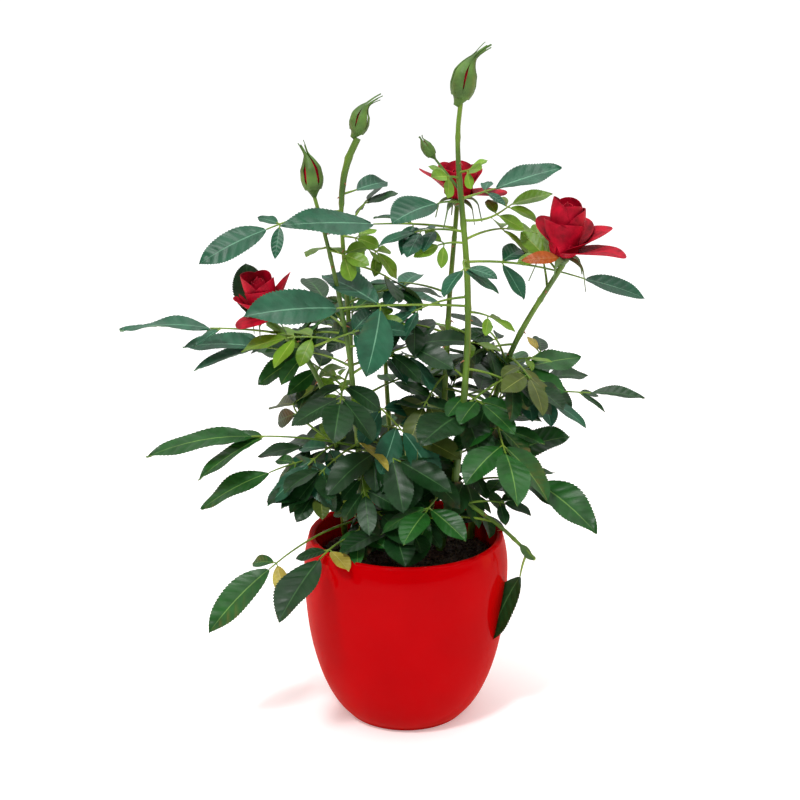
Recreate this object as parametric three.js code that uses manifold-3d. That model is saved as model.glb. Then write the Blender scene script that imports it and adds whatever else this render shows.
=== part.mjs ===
// A miniature rose in a glazed pot: the pot, its compost, eight canes, three open blooms,
// four buds, and the foliage as thin drooping leaf masses on short stalks.
// Millimetres, +Z up. The origin is the centre of the pot's flat underside and -Y is the front.
import * as THREE from 'three';
import { mergeVertices } from 'three/addons/utils/BufferGeometryUtils.js';
import Module from 'manifold-3d';

const wasm = await Module();
wasm.setup();

// ---- driving dimensions ----
const CLEARANCE = 0.3; // gap kept between neighbouring solids
const POT = {
  height: 125,
  footRadius: 38,
  bellyRadius: 67.5,
  bellyHeight: 102,
  rimRadius: 63.5,
  flare: 2.25, // how soon the side turns out of the foot
  shoulder: 0.655, // how full the side is below the belly
  wall: 4.5,
  floor: 7,
  lip: 2.2, // radius of the rounded lip
  outerSteps: 7,
  innerSteps: 4,
  facets: 28,
};
const COMPOST = { height: 111, dome: 3, steps: 4, facets: 14, rootDepth: 5, gap: 1.8 };
const CANE = { sides: 6, steps: 7 };
const STALK = { radius: 1.2, share: 0.24, overlap: 0.06, sides: 3, steps: 2 };
const PAD = { halfThickness: 4, droop: 0.5, sides: 6, steps: 4, tipWidth: 0.07 };

// ---- the plant: each cane with its bends, its radius at foot and tip, and its leaf masses ----
// A mass: share of the cane's length, bearing and rise in degrees, reach, bow, width, roll.
const CANES = [
  {
    name: 'tall',
    bends: [[22, 6], [34, -6, 175], [39, 0, 262], [40, 5, 300], [33, 8, 340], [32, 10, 401]],
    radii: [2.9, 1.6],
    leaves: [
      [0.18, -115, -8, 80, 8, 54, -10],
      [0.47, 60, 10, 65, 6, 54, 30],
      [0.57, -150, 5, 158, 8, 70, -38],
      [0.75, 20, 14, 62, 5, 44, 35],
      [0.71, -105, -22, 65, 6, 50, -15],
      [0.67, 5, -13, 115, 10, 48, 30],
      [0.8, -145, -8, 50, 4, 38, -25],
      [0.8, 15, 13, 70, 5, 40, 25],
    ],
  },
  {
    name: 'middle',
    bends: [[12, 18], [24, 18, 190], [28, 26, 275], [33, 36, 335]],
    radii: [2.6, 1.6],
    leaves: [
      [0.4, 75, 18, 90, 10, 62, 0],
      [0.93, -145, 5, 130, 8, 54, -30],
    ],
  },
  {
    name: 'left',
    bends: [[-20, 14], [-35, 10, 218], [-38, 10, 300], [-43, 11, 336], [-32, 12, 381]],
    radii: [2.5, 1.1],
    leaves: [
      [0.46, -95, -15, 85, 8, 56, -10],
      [0.62, -80, -22, 66, 8, 56, 10],
      [0.54, 115, 18, 80, 8, 60, 0],
      [0.71, 40, 5, 50, 5, 42, 25],
      [0.83, -165, -18, 92, 8, 50, -42],
      [0.86, 45, 5, 44, 5, 40, 25],
    ],
  },
  {
    name: 'front',
    bends: [[-28, -10], [-34, -6, 230], [-45, -10, 302], [-56, -12, 348]],
    radii: [2.4, 1.1],
    leaves: [
      [0.07, -120, -12, 98, 20, 48, 0],
      [0.12, -150, -25, 120, 16, 44, -20],
      [0.35, -55, -14, 36, 4, 28, -20],
      [0.32, -175, 2, 135, 12, 52, -18],
      [0.21, -150, -4, 56, 8, 50, -10],
      [0.1, -70, 6, 54, 6, 56, 0],
    ],
  },
  {
    name: 'side',
    bends: [[-40, 12], [-48, -4, 205], [-62, -3, 243], [-86, 2, 266]],
    radii: [2.2, 1.1],
    leaves: [
      [0.4, -165, -15, 96, 10, 54, -25],
      [0.55, 150, -1, 80, 8, 60, -25],
      [0.8, 160, 1, 90, 8, 54, -25],
      [0.92, 175, 2, 110, 8, 54, -8],
      [0.97, 165, 48, 38, 4, 32, -40],
    ],
  },
  {
    name: 'right',
    bends: [[44, 32], [54, 36, 176], [67, 22, 239], [99, 5, 303]],
    radii: [2.7, 1.5],
    leaves: [
      [0.22, -10, 26, 62, 6, 50, 30],
      [0.25, -45, -10, 100, 12, 48, 15],
      [0.47, -120, 0, 100, 8, 52, -20],
      [0.33, 65, 18, 85, 8, 62, 0],
      [0.47, -85, -15, 112, 12, 68, -10],
      [0.5, -5, 0, 100, 8, 48, 12],
      [0.6, -55, -15, 60, 8, 54, 15],
      [0.66, 10, -16, 50, 6, 44, 30],
      [0.9, 95, 40, 55, 5, 38, 0],
    ],
  },
  {
    name: 'rear',
    bends: [[-6, 38], [-12, 62, 190], [-16, 76, 262]],
    radii: [2.4, 1.4],
    leaves: [
      [0.4, 150, 10, 85, 10, 62, -20],
      [0.8, 165, 15, 80, 8, 54, -20],
      [0.93, 70, 15, 75, 8, 52, 0],
    ],
  },
  {
    name: 'low',
    bends: [[36, -10, 151], [60, -16, 135], [83, -20, 114]],
    radii: [1.6, 1.2],
    leaves: [
      [0.92, -148, -62, 58, 4, 40, 0],
      [0.8, -60, -66, 31, 6, 24, 0],
    ],
  },
];

// Dense hearts of small leaves between the canes: centre and half sizes.
const HEARTS = [
  { name: 'low', centre: [4, -4, 154], half: [46, 34, 29] },
  { name: 'mid', centre: [4, 10, 256], half: [32, 26, 34] },
];
const HEART_DETAIL = 1; // how often the faces of a heart are divided

// Open blooms: foot of the flower on its cane, way the flower faces, height, radius.
const BLOOMS = [
  { name: 'right', foot: [99, 5, 304], aim: [4, -2, 38], radius: 26, lobes: 5 },
  { name: 'middle', foot: [33, 36, 336], aim: [3, 3, 25], radius: 24, lobes: 4 },
  { name: 'left', foot: [-86.5, 2, 267], aim: [-3, 3, 28], radius: 20, lobes: 5 },
];
// Profile of an open bloom, foot to top: share of height, share of radius.
const BLOOM_PROFILE = [[0, 0.1], [0.12, 0.2], [0.22, 0.6], [0.4, 1], [0.62, 0.95], [0.82, 0.65], [1, 0.3]];

// Outlines along a bud, foot to tip: share of its line, share of its greatest radius.
const BEAKED = [[0, 0.3], [0.12, 0.6], [0.3, 1], [0.5, 0.95], [0.65, 0.5], [0.8, 0.22], [1, 0.08]];
const STALKED = [[0, 0.35], [0.5, 0.3], [0.6, 0.75], [0.7, 1], [0.8, 0.8], [0.9, 0.35], [1, 0.2]];
// Buds: foot, middle and tip of a bent centre line, the greatest radius and the outline.
const BUDS = [
  { name: 'top', line: [[32, 10, 402], [34, 11, 425], [52, 12, 438]], radius: 7.2, outline: BEAKED },
  { name: 'left', line: [[-32, 12, 382], [-30, 12, 398], [-14, 12, 407]], radius: 5.6, outline: BEAKED },
  { name: 'front', line: [[-56, -12, 349], [-57, -12, 365], [-64, -12, 381]], radius: 6.5, outline: BEAKED },
  { name: 'small', line: [[33, 10, 349], [17, 15, 368], [7, 15, 383]], radius: 3.2, outline: STALKED },
];
const BUD_SIDES = 6;
const BLOOM_SIDES = 9;

// ---- finishes ----
const finish = (color, roughness) => new THREE.MeshStandardMaterial({ color, roughness, metalness: 0 });
const GLAZE = () => finish(0xc40a14, 0.12);
const SOIL = () => finish(0x2a1d14, 0.95);
const BARK = () => finish(0x6f8a34, 0.6);
const LEAF = () => finish(0x3d6f52, 0.5);
const YOUNG = () => finish(0x7a9b3c, 0.5);
const PETAL = () => finish(0xb00a2c, 0.55);
const UP = new THREE.Vector3(0, 0, 1);
const BACK = new THREE.Vector3(0, 1, 0);
const radians = THREE.MathUtils.degToRad;

// ---- solids ----
const toSolid = (geometry) => {
  const bare = geometry.clone();
  bare.deleteAttribute('normal');
  bare.deleteAttribute('uv');
  const merged = mergeVertices(bare, 1e-4);
  const corners = merged.index.array;
  const kept = [];
  for (let i = 0; i < corners.length; i += 3) {
    const [a, b, c] = corners.slice(i, i + 3);
    if (a !== b && b !== c && c !== a) kept.push(a, b, c);
  }
  const mesh = new wasm.Mesh({
    numProp: 3,
    vertProperties: new Float32Array(merged.attributes.position.array),
    triVerts: new Uint32Array(kept),
  });
  return new wasm.Manifold(mesh);
};

const toGeometry = (solid) => {
  const { vertProperties, triVerts } = solid.getMesh();
  const geometry = new THREE.BufferGeometry();
  geometry.setAttribute('position', new THREE.BufferAttribute(vertProperties, 3));
  geometry.setIndex(new THREE.BufferAttribute(triVerts, 1));
  geometry.computeVertexNormals();
  return geometry;
};

// A closed skin over rings of points, with a fan at each end.
const skin = (rings) => {
  const sides = rings[0].length;
  const points = rings.flat();
  const index = [];
  for (let r = 0; r + 1 < rings.length; r++) {
    for (let k = 0; k < sides; k++) {
      const next = (k + 1) % sides;
      const a = r * sides + k;
      const b = r * sides + next;
      const c = a + sides;
      const d = b + sides;
      index.push(a, b, d, a, d, c);
    }
  }
  const last = (rings.length - 1) * sides;
  for (let k = 1; k + 1 < sides; k++) {
    index.push(0, k + 1, k);
    index.push(last, last + k, last + k + 1);
  }
  const geometry = new THREE.BufferGeometry().setFromPoints(points);
  geometry.setIndex(index);
  return geometry;
};

// One ring round a centre: half sizes along side and up, edges hanging by droop.
const ring = (centre, tangent, reference, roll, half, count, droop = 0, lobe = () => 1) => {
  const side = new THREE.Vector3().crossVectors(reference, tangent).normalize();
  side.applyAxisAngle(tangent, roll);
  const up = new THREE.Vector3().crossVectors(tangent, side);
  return Array.from({ length: count }, (_, k) => {
    const angle = (2 * Math.PI * k) / count;
    const across = Math.cos(angle) * half[0] * lobe(angle);
    const above = Math.sin(angle) * half[1] * lobe(angle) - (droop * across * across) / (half[0] + 1);
    return centre.clone().addScaledVector(side, across).addScaledVector(up, above);
  });
};

// ---- canes ----
const caneCurve = ({ bends }) => {
  const foot = COMPOST.height - COMPOST.rootDepth;
  return new THREE.CatmullRomCurve3(bends.map(([x, y, z = foot]) => new THREE.Vector3(x, y, z)));
};

const caneSolid = (cane, grow) => {
  const curve = caneCurve(cane);
  const [footRadius, tipRadius] = cane.radii;
  const rings = [];
  for (let i = 0; i <= CANE.steps; i++) {
    const share = i / CANE.steps;
    const radius = THREE.MathUtils.lerp(footRadius, tipRadius, share) + grow;
    const centre = curve.getPointAt(share);
    const tangent = curve.getTangentAt(share);
    if (i === 0) centre.addScaledVector(tangent, -grow);
    if (i === CANE.steps) centre.addScaledVector(tangent, grow);
    rings.push(ring(centre, tangent, BACK, 0, [radius, radius], CANE.sides));
  }
  return toSolid(skin(rings));
};

// ---- leaf masses: a stalk off the cane, then a thin uneven pad that bows over and hangs ----
const leafLine = (cane, [share, bearing, rise, reach, bow]) => {
  const base = caneCurve(cane).getPointAt(share);
  const flat = Math.cos(radians(rise)) * reach;
  const chord = new THREE.Vector3(
    flat * Math.cos(radians(bearing)),
    flat * Math.sin(radians(bearing)),
    reach * Math.sin(radians(rise)),
  );
  const at = (t) => base.clone().addScaledVector(chord, t).addScaledVector(UP, bow * 4 * t * (1 - t));
  const along = (t) => chord.clone().addScaledVector(UP, bow * 4 * (1 - 2 * t)).normalize();
  return { base, at, along };
};

const stalkSolid = (line, roll, grow) => {
  const rings = [];
  for (let i = 0; i <= STALK.steps; i++) {
    const t = (i / STALK.steps) * (STALK.share + STALK.overlap);
    const radius = STALK.radius + grow;
    rings.push(ring(line.at(t), line.along(t), UP, roll, [radius, radius], STALK.sides));
  }
  return toSolid(skin(rings));
};

const padSolid = (line, width, roll, phase, grow) => {
  const rings = [];
  for (let i = 0; i <= PAD.steps; i++) {
    const share = i / PAD.steps;
    const t = THREE.MathUtils.lerp(STALK.share, 1, share);
    const outline = Math.max(Math.sin(Math.PI * (0.06 + 0.94 * share) ** 0.8), PAD.tipWidth);
    const uneven = 1 + 0.16 * Math.sin(5 * share + phase);
    const halfWidth = (width / 2) * outline * uneven + grow;
    const halfThickness = PAD.halfThickness * Math.sqrt(outline) + grow;
    const centre = line.at(t);
    if (i === 0) centre.addScaledVector(line.along(t), -grow);
    if (i === PAD.steps) centre.addScaledVector(line.along(t), grow);
    rings.push(ring(centre, line.along(t), UP, roll, [halfWidth, halfThickness], PAD.sides, PAD.droop));
  }
  return toSolid(skin(rings));
};

// ---- flowers ----
const profileSolid = (curve, profile, radius, sides, lobe, grow) => {
  const rings = profile.map(([along, share], i) => {
    const centre = curve.getPoint(along);
    const tangent = curve.getTangent(along);
    if (i === 0) centre.addScaledVector(tangent, -grow);
    if (i === profile.length - 1) centre.addScaledVector(tangent, grow);
    const half = radius * share + grow;
    return ring(centre, tangent, BACK, 0, [half, half], sides, 0, lobe);
  });
  return toSolid(skin(rings));
};

const bloomSolid = ({ foot, aim, radius, lobes }, grow) => {
  const start = new THREE.Vector3(...foot).addScaledVector(new THREE.Vector3(...aim).normalize(), 1);
  const end = start.clone().add(new THREE.Vector3(...aim));
  const lobe = (angle) => 1 + 0.07 * Math.cos(lobes * angle);
  return profileSolid(new THREE.LineCurve3(start, end), BLOOM_PROFILE, radius, BLOOM_SIDES, lobe, grow);
};

const budSolid = ({ line, radius, outline }, grow) => {
  const curve = new THREE.QuadraticBezierCurve3(...line.map((point) => new THREE.Vector3(...point)));
  return profileSolid(curve, outline, radius, BUD_SIDES, () => 1, grow);
};

const heartSolid = ({ centre, half }) => {
  const geometry = new THREE.IcosahedronGeometry(1, HEART_DETAIL);
  const position = geometry.attributes.position;
  const point = new THREE.Vector3();
  for (let i = 0; i < position.count; i++) {
    point.fromBufferAttribute(position, i);
    const uneven = 1 + 0.14 * Math.sin(4 * point.x + 5 * point.z) + 0.1 * Math.cos(6 * point.y);
    position.setXYZ(i, ...point.toArray().map((value, axis) => centre[axis] + value * half[axis] * uneven));
  }
  return toSolid(geometry);
};

// ---- pot and compost ----
const sideRadius = (z) => {
  if (z <= POT.bellyHeight) {
    const fall = (1 - z / POT.bellyHeight) ** POT.flare;
    return POT.footRadius + (POT.bellyRadius - POT.footRadius) * (1 - fall) ** POT.shoulder;
  }
  const rise = (z - POT.bellyHeight) / (POT.height - POT.bellyHeight);
  return POT.bellyRadius - (POT.bellyRadius - POT.rimRadius) * rise ** 2;
};

// Heights bunched towards the foot, where the side turns fastest.
const sideHeights = (low, high, steps) =>
  Array.from({ length: steps + 1 }, (_, i) => low + (high - low) * (i / steps) ** 1.3);

const lathe = (profile, facets) => {
  const geometry = new THREE.LatheGeometry(profile.map(([r, z]) => new THREE.Vector2(r, z)), facets);
  geometry.rotateX(Math.PI / 2);
  return toSolid(geometry);
};

const potSolid = (grow) => {
  const shoulderHeight = POT.height - POT.lip;
  const inner = (z) => sideRadius(z) - POT.wall - grow;
  const profile = [[0, -grow]];
  const outside = sideHeights(0, shoulderHeight, POT.outerSteps);
  const inside = sideHeights(POT.floor, shoulderHeight, POT.innerSteps).reverse();
  profile.push(...outside.map((z) => [sideRadius(z) + grow, z === 0 ? -grow : z]));
  const lipCentre = (sideRadius(shoulderHeight) + inner(shoulderHeight) + grow) / 2;
  profile.push([lipCentre + POT.lip * 0.6, POT.height - POT.lip * 0.25 + grow]);
  profile.push([lipCentre, POT.height + grow]);
  profile.push([lipCentre - POT.lip * 0.6, POT.height - POT.lip * 0.25 + grow]);
  profile.push(...inside.map((z) => [inner(z), z + grow]));
  profile.push([0, POT.floor + grow]);
  return lathe(profile, POT.facets);
};

const compostSolid = () => {
  const bottom = POT.floor + CLEARANCE;
  const reach = (z) => sideRadius(z) - POT.wall - COMPOST.gap;
  const profile = [[0, bottom]];
  profile.push(...sideHeights(bottom, COMPOST.height - COMPOST.dome, COMPOST.steps).map((z) => [reach(z), z]));
  profile.push([reach(COMPOST.height) * 0.75, COMPOST.height - COMPOST.dome * 0.3]);
  profile.push([reach(COMPOST.height) * 0.4, COMPOST.height]);
  profile.push([0, COMPOST.height]);
  return lathe(profile, COMPOST.facets);
};

// ---- cutting each piece round the ones before it ----
const apart = (a, b) => {
  const one = a.boundingBox();
  const two = b.boundingBox();
  return [0, 1, 2].some((axis) => one.max[axis] < two.min[axis] || two.max[axis] < one.min[axis]);
};

const cut = (solid, cutters) =>
  cutters.filter((cutter) => !apart(solid, cutter)).reduce((left, cutter) => left.subtract(cutter), solid);

const largest = (solid) =>
  solid.decompose().reduce((best, piece) => (piece.volume() > best.volume() ? piece : best));

const plant = new THREE.Group();
const place = (name, solid, pivot, material) => {
  const mesh = new THREE.Mesh(toGeometry(solid.translate(pivot.map((value) => -value))), material);
  mesh.name = name;
  mesh.position.set(...pivot);
  plant.add(mesh);
};

place('pot', potSolid(0), [0, 0, 0], GLAZE());
const potRoom = potSolid(CLEARANCE);

const canes = CANES.map((cane) => ({ ...cane, solid: caneSolid(cane, 0), room: caneSolid(cane, CLEARANCE) }));
const caneRooms = canes.map(({ room }) => room);
place('compost', cut(compostSolid(), caneRooms), [0, 0, POT.floor], SOIL());
canes.forEach(({ name, solid, bends }, i) => {
  const [x, y, z = COMPOST.height - COMPOST.rootDepth] = bends[0];
  place(`cane_${name}`, largest(cut(solid, caneRooms.slice(0, i))), [x, y, z], BARK());
});

const flowerRooms = [];
BLOOMS.forEach((bloom) => {
  place(`bloom_${bloom.name}`, largest(cut(bloomSolid(bloom, 0), caneRooms)), bloom.foot, PETAL());
  flowerRooms.push(bloomSolid(bloom, CLEARANCE));
});
BUDS.forEach((bud) => {
  const solid = largest(cut(budSolid(bud, 0), [...caneRooms, ...flowerRooms]));
  place(`bud_${bud.name}`, solid, bud.line[0], PETAL());
  flowerRooms.push(budSolid(bud, CLEARANCE));
});

const masses = CANES.flatMap((cane) =>
  cane.leaves.map((leaf, i) => {
    const line = leafLine(cane, leaf);
    const [share, , , , , width, tilt] = leaf;
    const roll = radians(tilt);
    const phase = 2 * i + 7 * share;
    return {
      name: `leaves_${cane.name}_${i + 1}`,
      pivot: line.base.toArray(),
      stalk: stalkSolid(line, roll, 0),
      stalkRoom: stalkSolid(line, roll, CLEARANCE),
      pad: padSolid(line, width, roll, phase, 0),
      padRoom: padSolid(line, width, roll, phase, CLEARANCE),
    };
  }),
);
const firmRooms = [potRoom, ...caneRooms, ...flowerRooms];
masses.forEach(({ name, pivot, stalk, pad }, i) => {
  const others = masses.filter((mass, k) => k !== i).map(({ stalkRoom }) => stalkRoom);
  const before = masses.slice(0, i);
  const stem = cut(stalk, [...firmRooms, ...before.map(({ stalkRoom }) => stalkRoom)]);
  const blade = cut(pad, [...firmRooms, ...others, ...before.map(({ padRoom }) => padRoom)]);
  place(name, largest(stem.add(blade)), pivot, LEAF());
});

const leafRooms = masses.flatMap(({ stalkRoom, padRoom }) => [stalkRoom, padRoom]);
HEARTS.forEach((heart) => {
  const solid = largest(cut(heartSolid(heart), [...firmRooms, ...leafRooms]));
  place(`heart_${heart.name}`, solid, heart.centre, YOUNG());
});

export default plant;
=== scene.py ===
"""A miniature rose bush in a glossy red glazed pot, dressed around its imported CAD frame.

Metres, +Z up, front towards -Y. The frame gives every place: each foliage mass is read as a centre
line and the side that its blades spread to, and a compound leaf grows on it from the nearest cane.
"""

import logging
import math
from dataclasses import dataclass, field
from enum import Enum
from typing import Callable, Sequence

import bpy
import numpy as np
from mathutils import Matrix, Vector


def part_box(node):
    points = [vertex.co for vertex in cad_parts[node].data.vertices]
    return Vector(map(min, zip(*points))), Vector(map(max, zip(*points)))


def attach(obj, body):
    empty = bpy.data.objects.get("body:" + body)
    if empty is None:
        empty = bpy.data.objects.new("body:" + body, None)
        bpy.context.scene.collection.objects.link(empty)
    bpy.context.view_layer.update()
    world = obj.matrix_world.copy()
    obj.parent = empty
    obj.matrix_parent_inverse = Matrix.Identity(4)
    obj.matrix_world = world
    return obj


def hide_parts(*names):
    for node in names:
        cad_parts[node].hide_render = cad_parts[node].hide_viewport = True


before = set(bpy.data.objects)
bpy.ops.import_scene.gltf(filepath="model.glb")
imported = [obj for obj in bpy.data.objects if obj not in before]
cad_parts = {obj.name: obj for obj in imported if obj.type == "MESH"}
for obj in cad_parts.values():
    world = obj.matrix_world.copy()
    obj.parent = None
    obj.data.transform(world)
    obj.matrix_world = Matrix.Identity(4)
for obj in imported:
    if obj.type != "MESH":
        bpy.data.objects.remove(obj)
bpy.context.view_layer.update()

Array = np.ndarray
Triple = tuple[float, float, float]
Colour = tuple[float, float, float, float]
Socket = bpy.types.NodeSocket
MM = 0.001
UP = np.array([0.0, 0.0, 1.0])
GOLDEN = math.radians(137.5)
log = logging.getLogger("rose")


# ---------------------------------------------------------------- small helpers


def unit(v: Array) -> Array:
    """Returns v, or each row of v, at length one."""
    return v / np.maximum(np.linalg.norm(v, axis=-1, keepdims=True), 1e-12)


def turn(v: Array, axis: Array, angle: float) -> Array:
    """Turns a vector about a unit axis.

    Args:
        v: the vector.
        axis: a unit vector.
        angle: radians, by the right-hand rule.

    Returns:
        The turned vector.
    """
    c, s = math.cos(angle), math.sin(angle)
    return v * c + np.cross(axis, v) * s + axis * (v @ axis) * (1 - c)


def lerp(a: float, b: float, t: float) -> float:
    """Returns the value a share t of the way from a to b."""
    return a + (b - a) * t


def linear(hex_colour: str) -> Colour:
    """Turns an sRGB hex colour into linear RGBA.

    Args:
        hex_colour: six hex digits, such as "c0102a".

    Returns:
        Red, green, blue and alpha, linear.
    """
    parts = [int(hex_colour[i : i + 2], 16) / 255 for i in (0, 2, 4)]
    low = [c / 12.92 if c <= 0.04045 else ((c + 0.055) / 1.055) ** 2.4 for c in parts]
    return (*low, 1.0)


# ---------------------------------------------------------------- meshes from arrays


@dataclass
class Shape:
    """Vertices and faces of one small closed shape, or of many joined ones."""

    points: Array
    corners: Array
    counts: Array
    slots: Array

    def triangles(self) -> int:
        """Returns how many triangles the faces make."""
        return int((self.counts - 2).sum())


@dataclass
class Pool:
    """Collects small shapes and joins them into one mesh object."""

    name: str
    shapes: list[Shape] = field(default_factory=list)

    def add(self, shape: Shape) -> None:
        """Takes one more shape."""
        self.shapes.append(shape)

    def triangles(self) -> int:
        """Returns how many triangles the joined mesh has."""
        return sum(shape.triangles() for shape in self.shapes)

    def shared_out(self, limit: int) -> list["Pool"]:
        """Deals these shapes, in their order, to pools that stay small.

        Args:
            limit: the most triangles that one pool holds.

        Returns:
            The numbered pools.
        """
        parts = [Pool(f"{self.name}_1")]
        held = 0
        for shape in self.shapes:
            if held + shape.triangles() > limit:
                parts.append(Pool(f"{self.name}_{len(parts) + 1}"))
                held = 0
            parts[-1].add(shape)
            held += shape.triangles()
        return parts

    def build(self, materials: Sequence[bpy.types.Material], crease: float = 60.0) -> bpy.types.Object:
        """Makes the joined mesh.

        Args:
            materials: one for each slot number that the shapes use.
            crease: edges that bend by more degrees than this shade as sharp.

        Returns:
            The new object, linked to the scene.
        """
        starts = np.cumsum([0] + [len(s.points) for s in self.shapes[:-1]])
        points = np.concatenate([s.points for s in self.shapes])
        corners = np.concatenate([s.corners + at for s, at in zip(self.shapes, starts)])
        counts = np.concatenate([s.counts for s in self.shapes])
        slots = np.concatenate([s.slots for s in self.shapes])
        mesh = bpy.data.meshes.new(self.name)
        mesh.vertices.add(len(points))
        mesh.vertices.foreach_set("co", points.astype(np.float32).ravel())
        mesh.loops.add(len(corners))
        mesh.loops.foreach_set("vertex_index", corners.astype(np.int32))
        mesh.polygons.add(len(counts))
        mesh.polygons.foreach_set("loop_start", (np.cumsum(counts) - counts).astype(np.int32))
        mesh.polygons.foreach_set("material_index", slots.astype(np.int32))
        mesh.update(calc_edges=True)
        mesh.shade_smooth()
        mesh.set_sharp_from_angle(angle=math.radians(crease))
        for material in materials:
            mesh.materials.append(material)
        thing = bpy.data.objects.new(self.name, mesh)
        bpy.context.scene.collection.objects.link(thing)
        log.info("%s: %d triangles", self.name, self.triangles())
        return thing


def grid_faces(rows: int, columns: int, wrap: bool = False) -> Array:
    """Returns the quads, as rows of four corner numbers, of a grid of points.

    Args:
        rows: rows of points.
        columns: points in each row.
        wrap: whether each row closes on itself.

    Returns:
        An array of quads.
    """
    across = columns if wrap else columns - 1
    r, c = np.meshgrid(np.arange(rows - 1), np.arange(across), indexing="ij")
    a = (r * columns + c).ravel()
    b = (r * columns + (c + 1) % columns).ravel()
    return np.stack([a, b, b + columns, a + columns], axis=1)


def capped(rings: Array, slot: int = 0, flip: bool = False) -> Shape:
    """Makes a closed form from a stack of rings, with one face at each end.

    Args:
        rings: rows by sides by 3 points, each row going once round.
        slot: the material slot of its faces.
        flip: turns every face over, for rings that spread from the middle of an upper side.

    Returns:
        The closed form.
    """
    rows, sides = rings.shape[:2]
    quads = grid_faces(rows, sides, wrap=True)
    around = np.arange(sides)
    ends = [around[::-1], (rows - 1) * sides + around]
    if flip:
        quads, ends = quads[:, ::-1], [end[::-1] for end in ends]
    counts = np.concatenate([np.full(len(quads), 4), [sides, sides]])
    corners = np.concatenate([quads.ravel(), *ends])
    return Shape(rings.reshape(-1, 3), corners, counts, np.full(len(counts), slot))


def tube(path: Array, radii: Array, sides: int, slot: int = 0) -> Shape:
    """Makes a closed tube along a path.

    Args:
        path: the centre line's points.
        radii: the radius at each point, or one row of radii round each point.
        sides: points round the tube.
        slot: the material slot of its faces.

    Returns:
        The tube with both ends closed.
    """
    tangents = unit(np.gradient(path, axis=0))
    side = unit(np.cross(tangents[0], [0.3, 1.0, 0.2]))
    rings = []
    angles = np.linspace(0, 2 * np.pi, sides, endpoint=False)
    radii = np.asarray(radii, float).reshape(len(path), -1)
    for centre, tangent, radius in zip(path, tangents, radii):
        side = unit(side - tangent * (side @ tangent))
        above = np.cross(tangent, side)
        ring = np.outer(np.cos(angles) * radius, side) + np.outer(np.sin(angles) * radius, above)
        rings.append(centre + ring)
    return capped(np.array(rings), slot)


def shell(grid: Array, thickness: float, slots: tuple[int, int] = (0, 0)) -> Shape:
    """Makes a thin closed sheet from a grid of points.

    Args:
        grid: rows by columns by 3 points of the middle surface.
        thickness: the sheet's thickness.
        slots: the material slots of its upper and lower faces.

    Returns:
        The sheet, closed all round its rim.
    """
    rows, columns = grid.shape[:2]
    normal = unit(np.cross(np.gradient(grid, axis=0), np.gradient(grid, axis=1)))
    upper = (grid + normal * thickness / 2).reshape(-1, 3)
    lower = (grid - normal * thickness / 2).reshape(-1, 3)
    quads = grid_faces(rows, columns)
    total = rows * columns
    rim = np.concatenate(
        [
            np.arange(columns),
            np.arange(1, rows) * columns + columns - 1,
            np.arange(columns - 2, -1, -1) + (rows - 1) * columns,
            np.arange(rows - 2, 0, -1) * columns,
        ]
    )
    after = np.roll(rim, -1)
    edge = np.stack([rim, after, after + total, rim + total], axis=1)
    top = quads[:, ::-1]
    faces = np.concatenate([top, quads + total, edge])
    slot = np.concatenate([np.full(len(top), slots[0]), np.full(len(quads) + len(edge), slots[1])])
    return Shape(np.concatenate([upper, lower]), faces.ravel(), np.full(len(faces), 4), slot)


# ---------------------------------------------------------------- materials


def add_node(
    tree: bpy.types.NodeTree,
    kind: str,
    settings: dict[str, object] | None = None,
    links: dict[str | int, Socket] | None = None,
) -> bpy.types.Node:
    """Adds a shader node with its settings and links.

    Args:
        tree: the material's node tree.
        kind: the node's type name.
        settings: values by socket name, or by attribute name where no socket has that name.
        links: output sockets by the name or number of the input they feed.

    Returns:
        The new node.
    """
    made = tree.nodes.new(kind)
    for name, value in (settings or {}).items():
        if name in made.inputs:
            made.inputs[name].default_value = value
        else:
            setattr(made, name, value)
    for name, socket in (links or {}).items():
        tree.links.new(socket, made.inputs[name])
    return made


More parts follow.
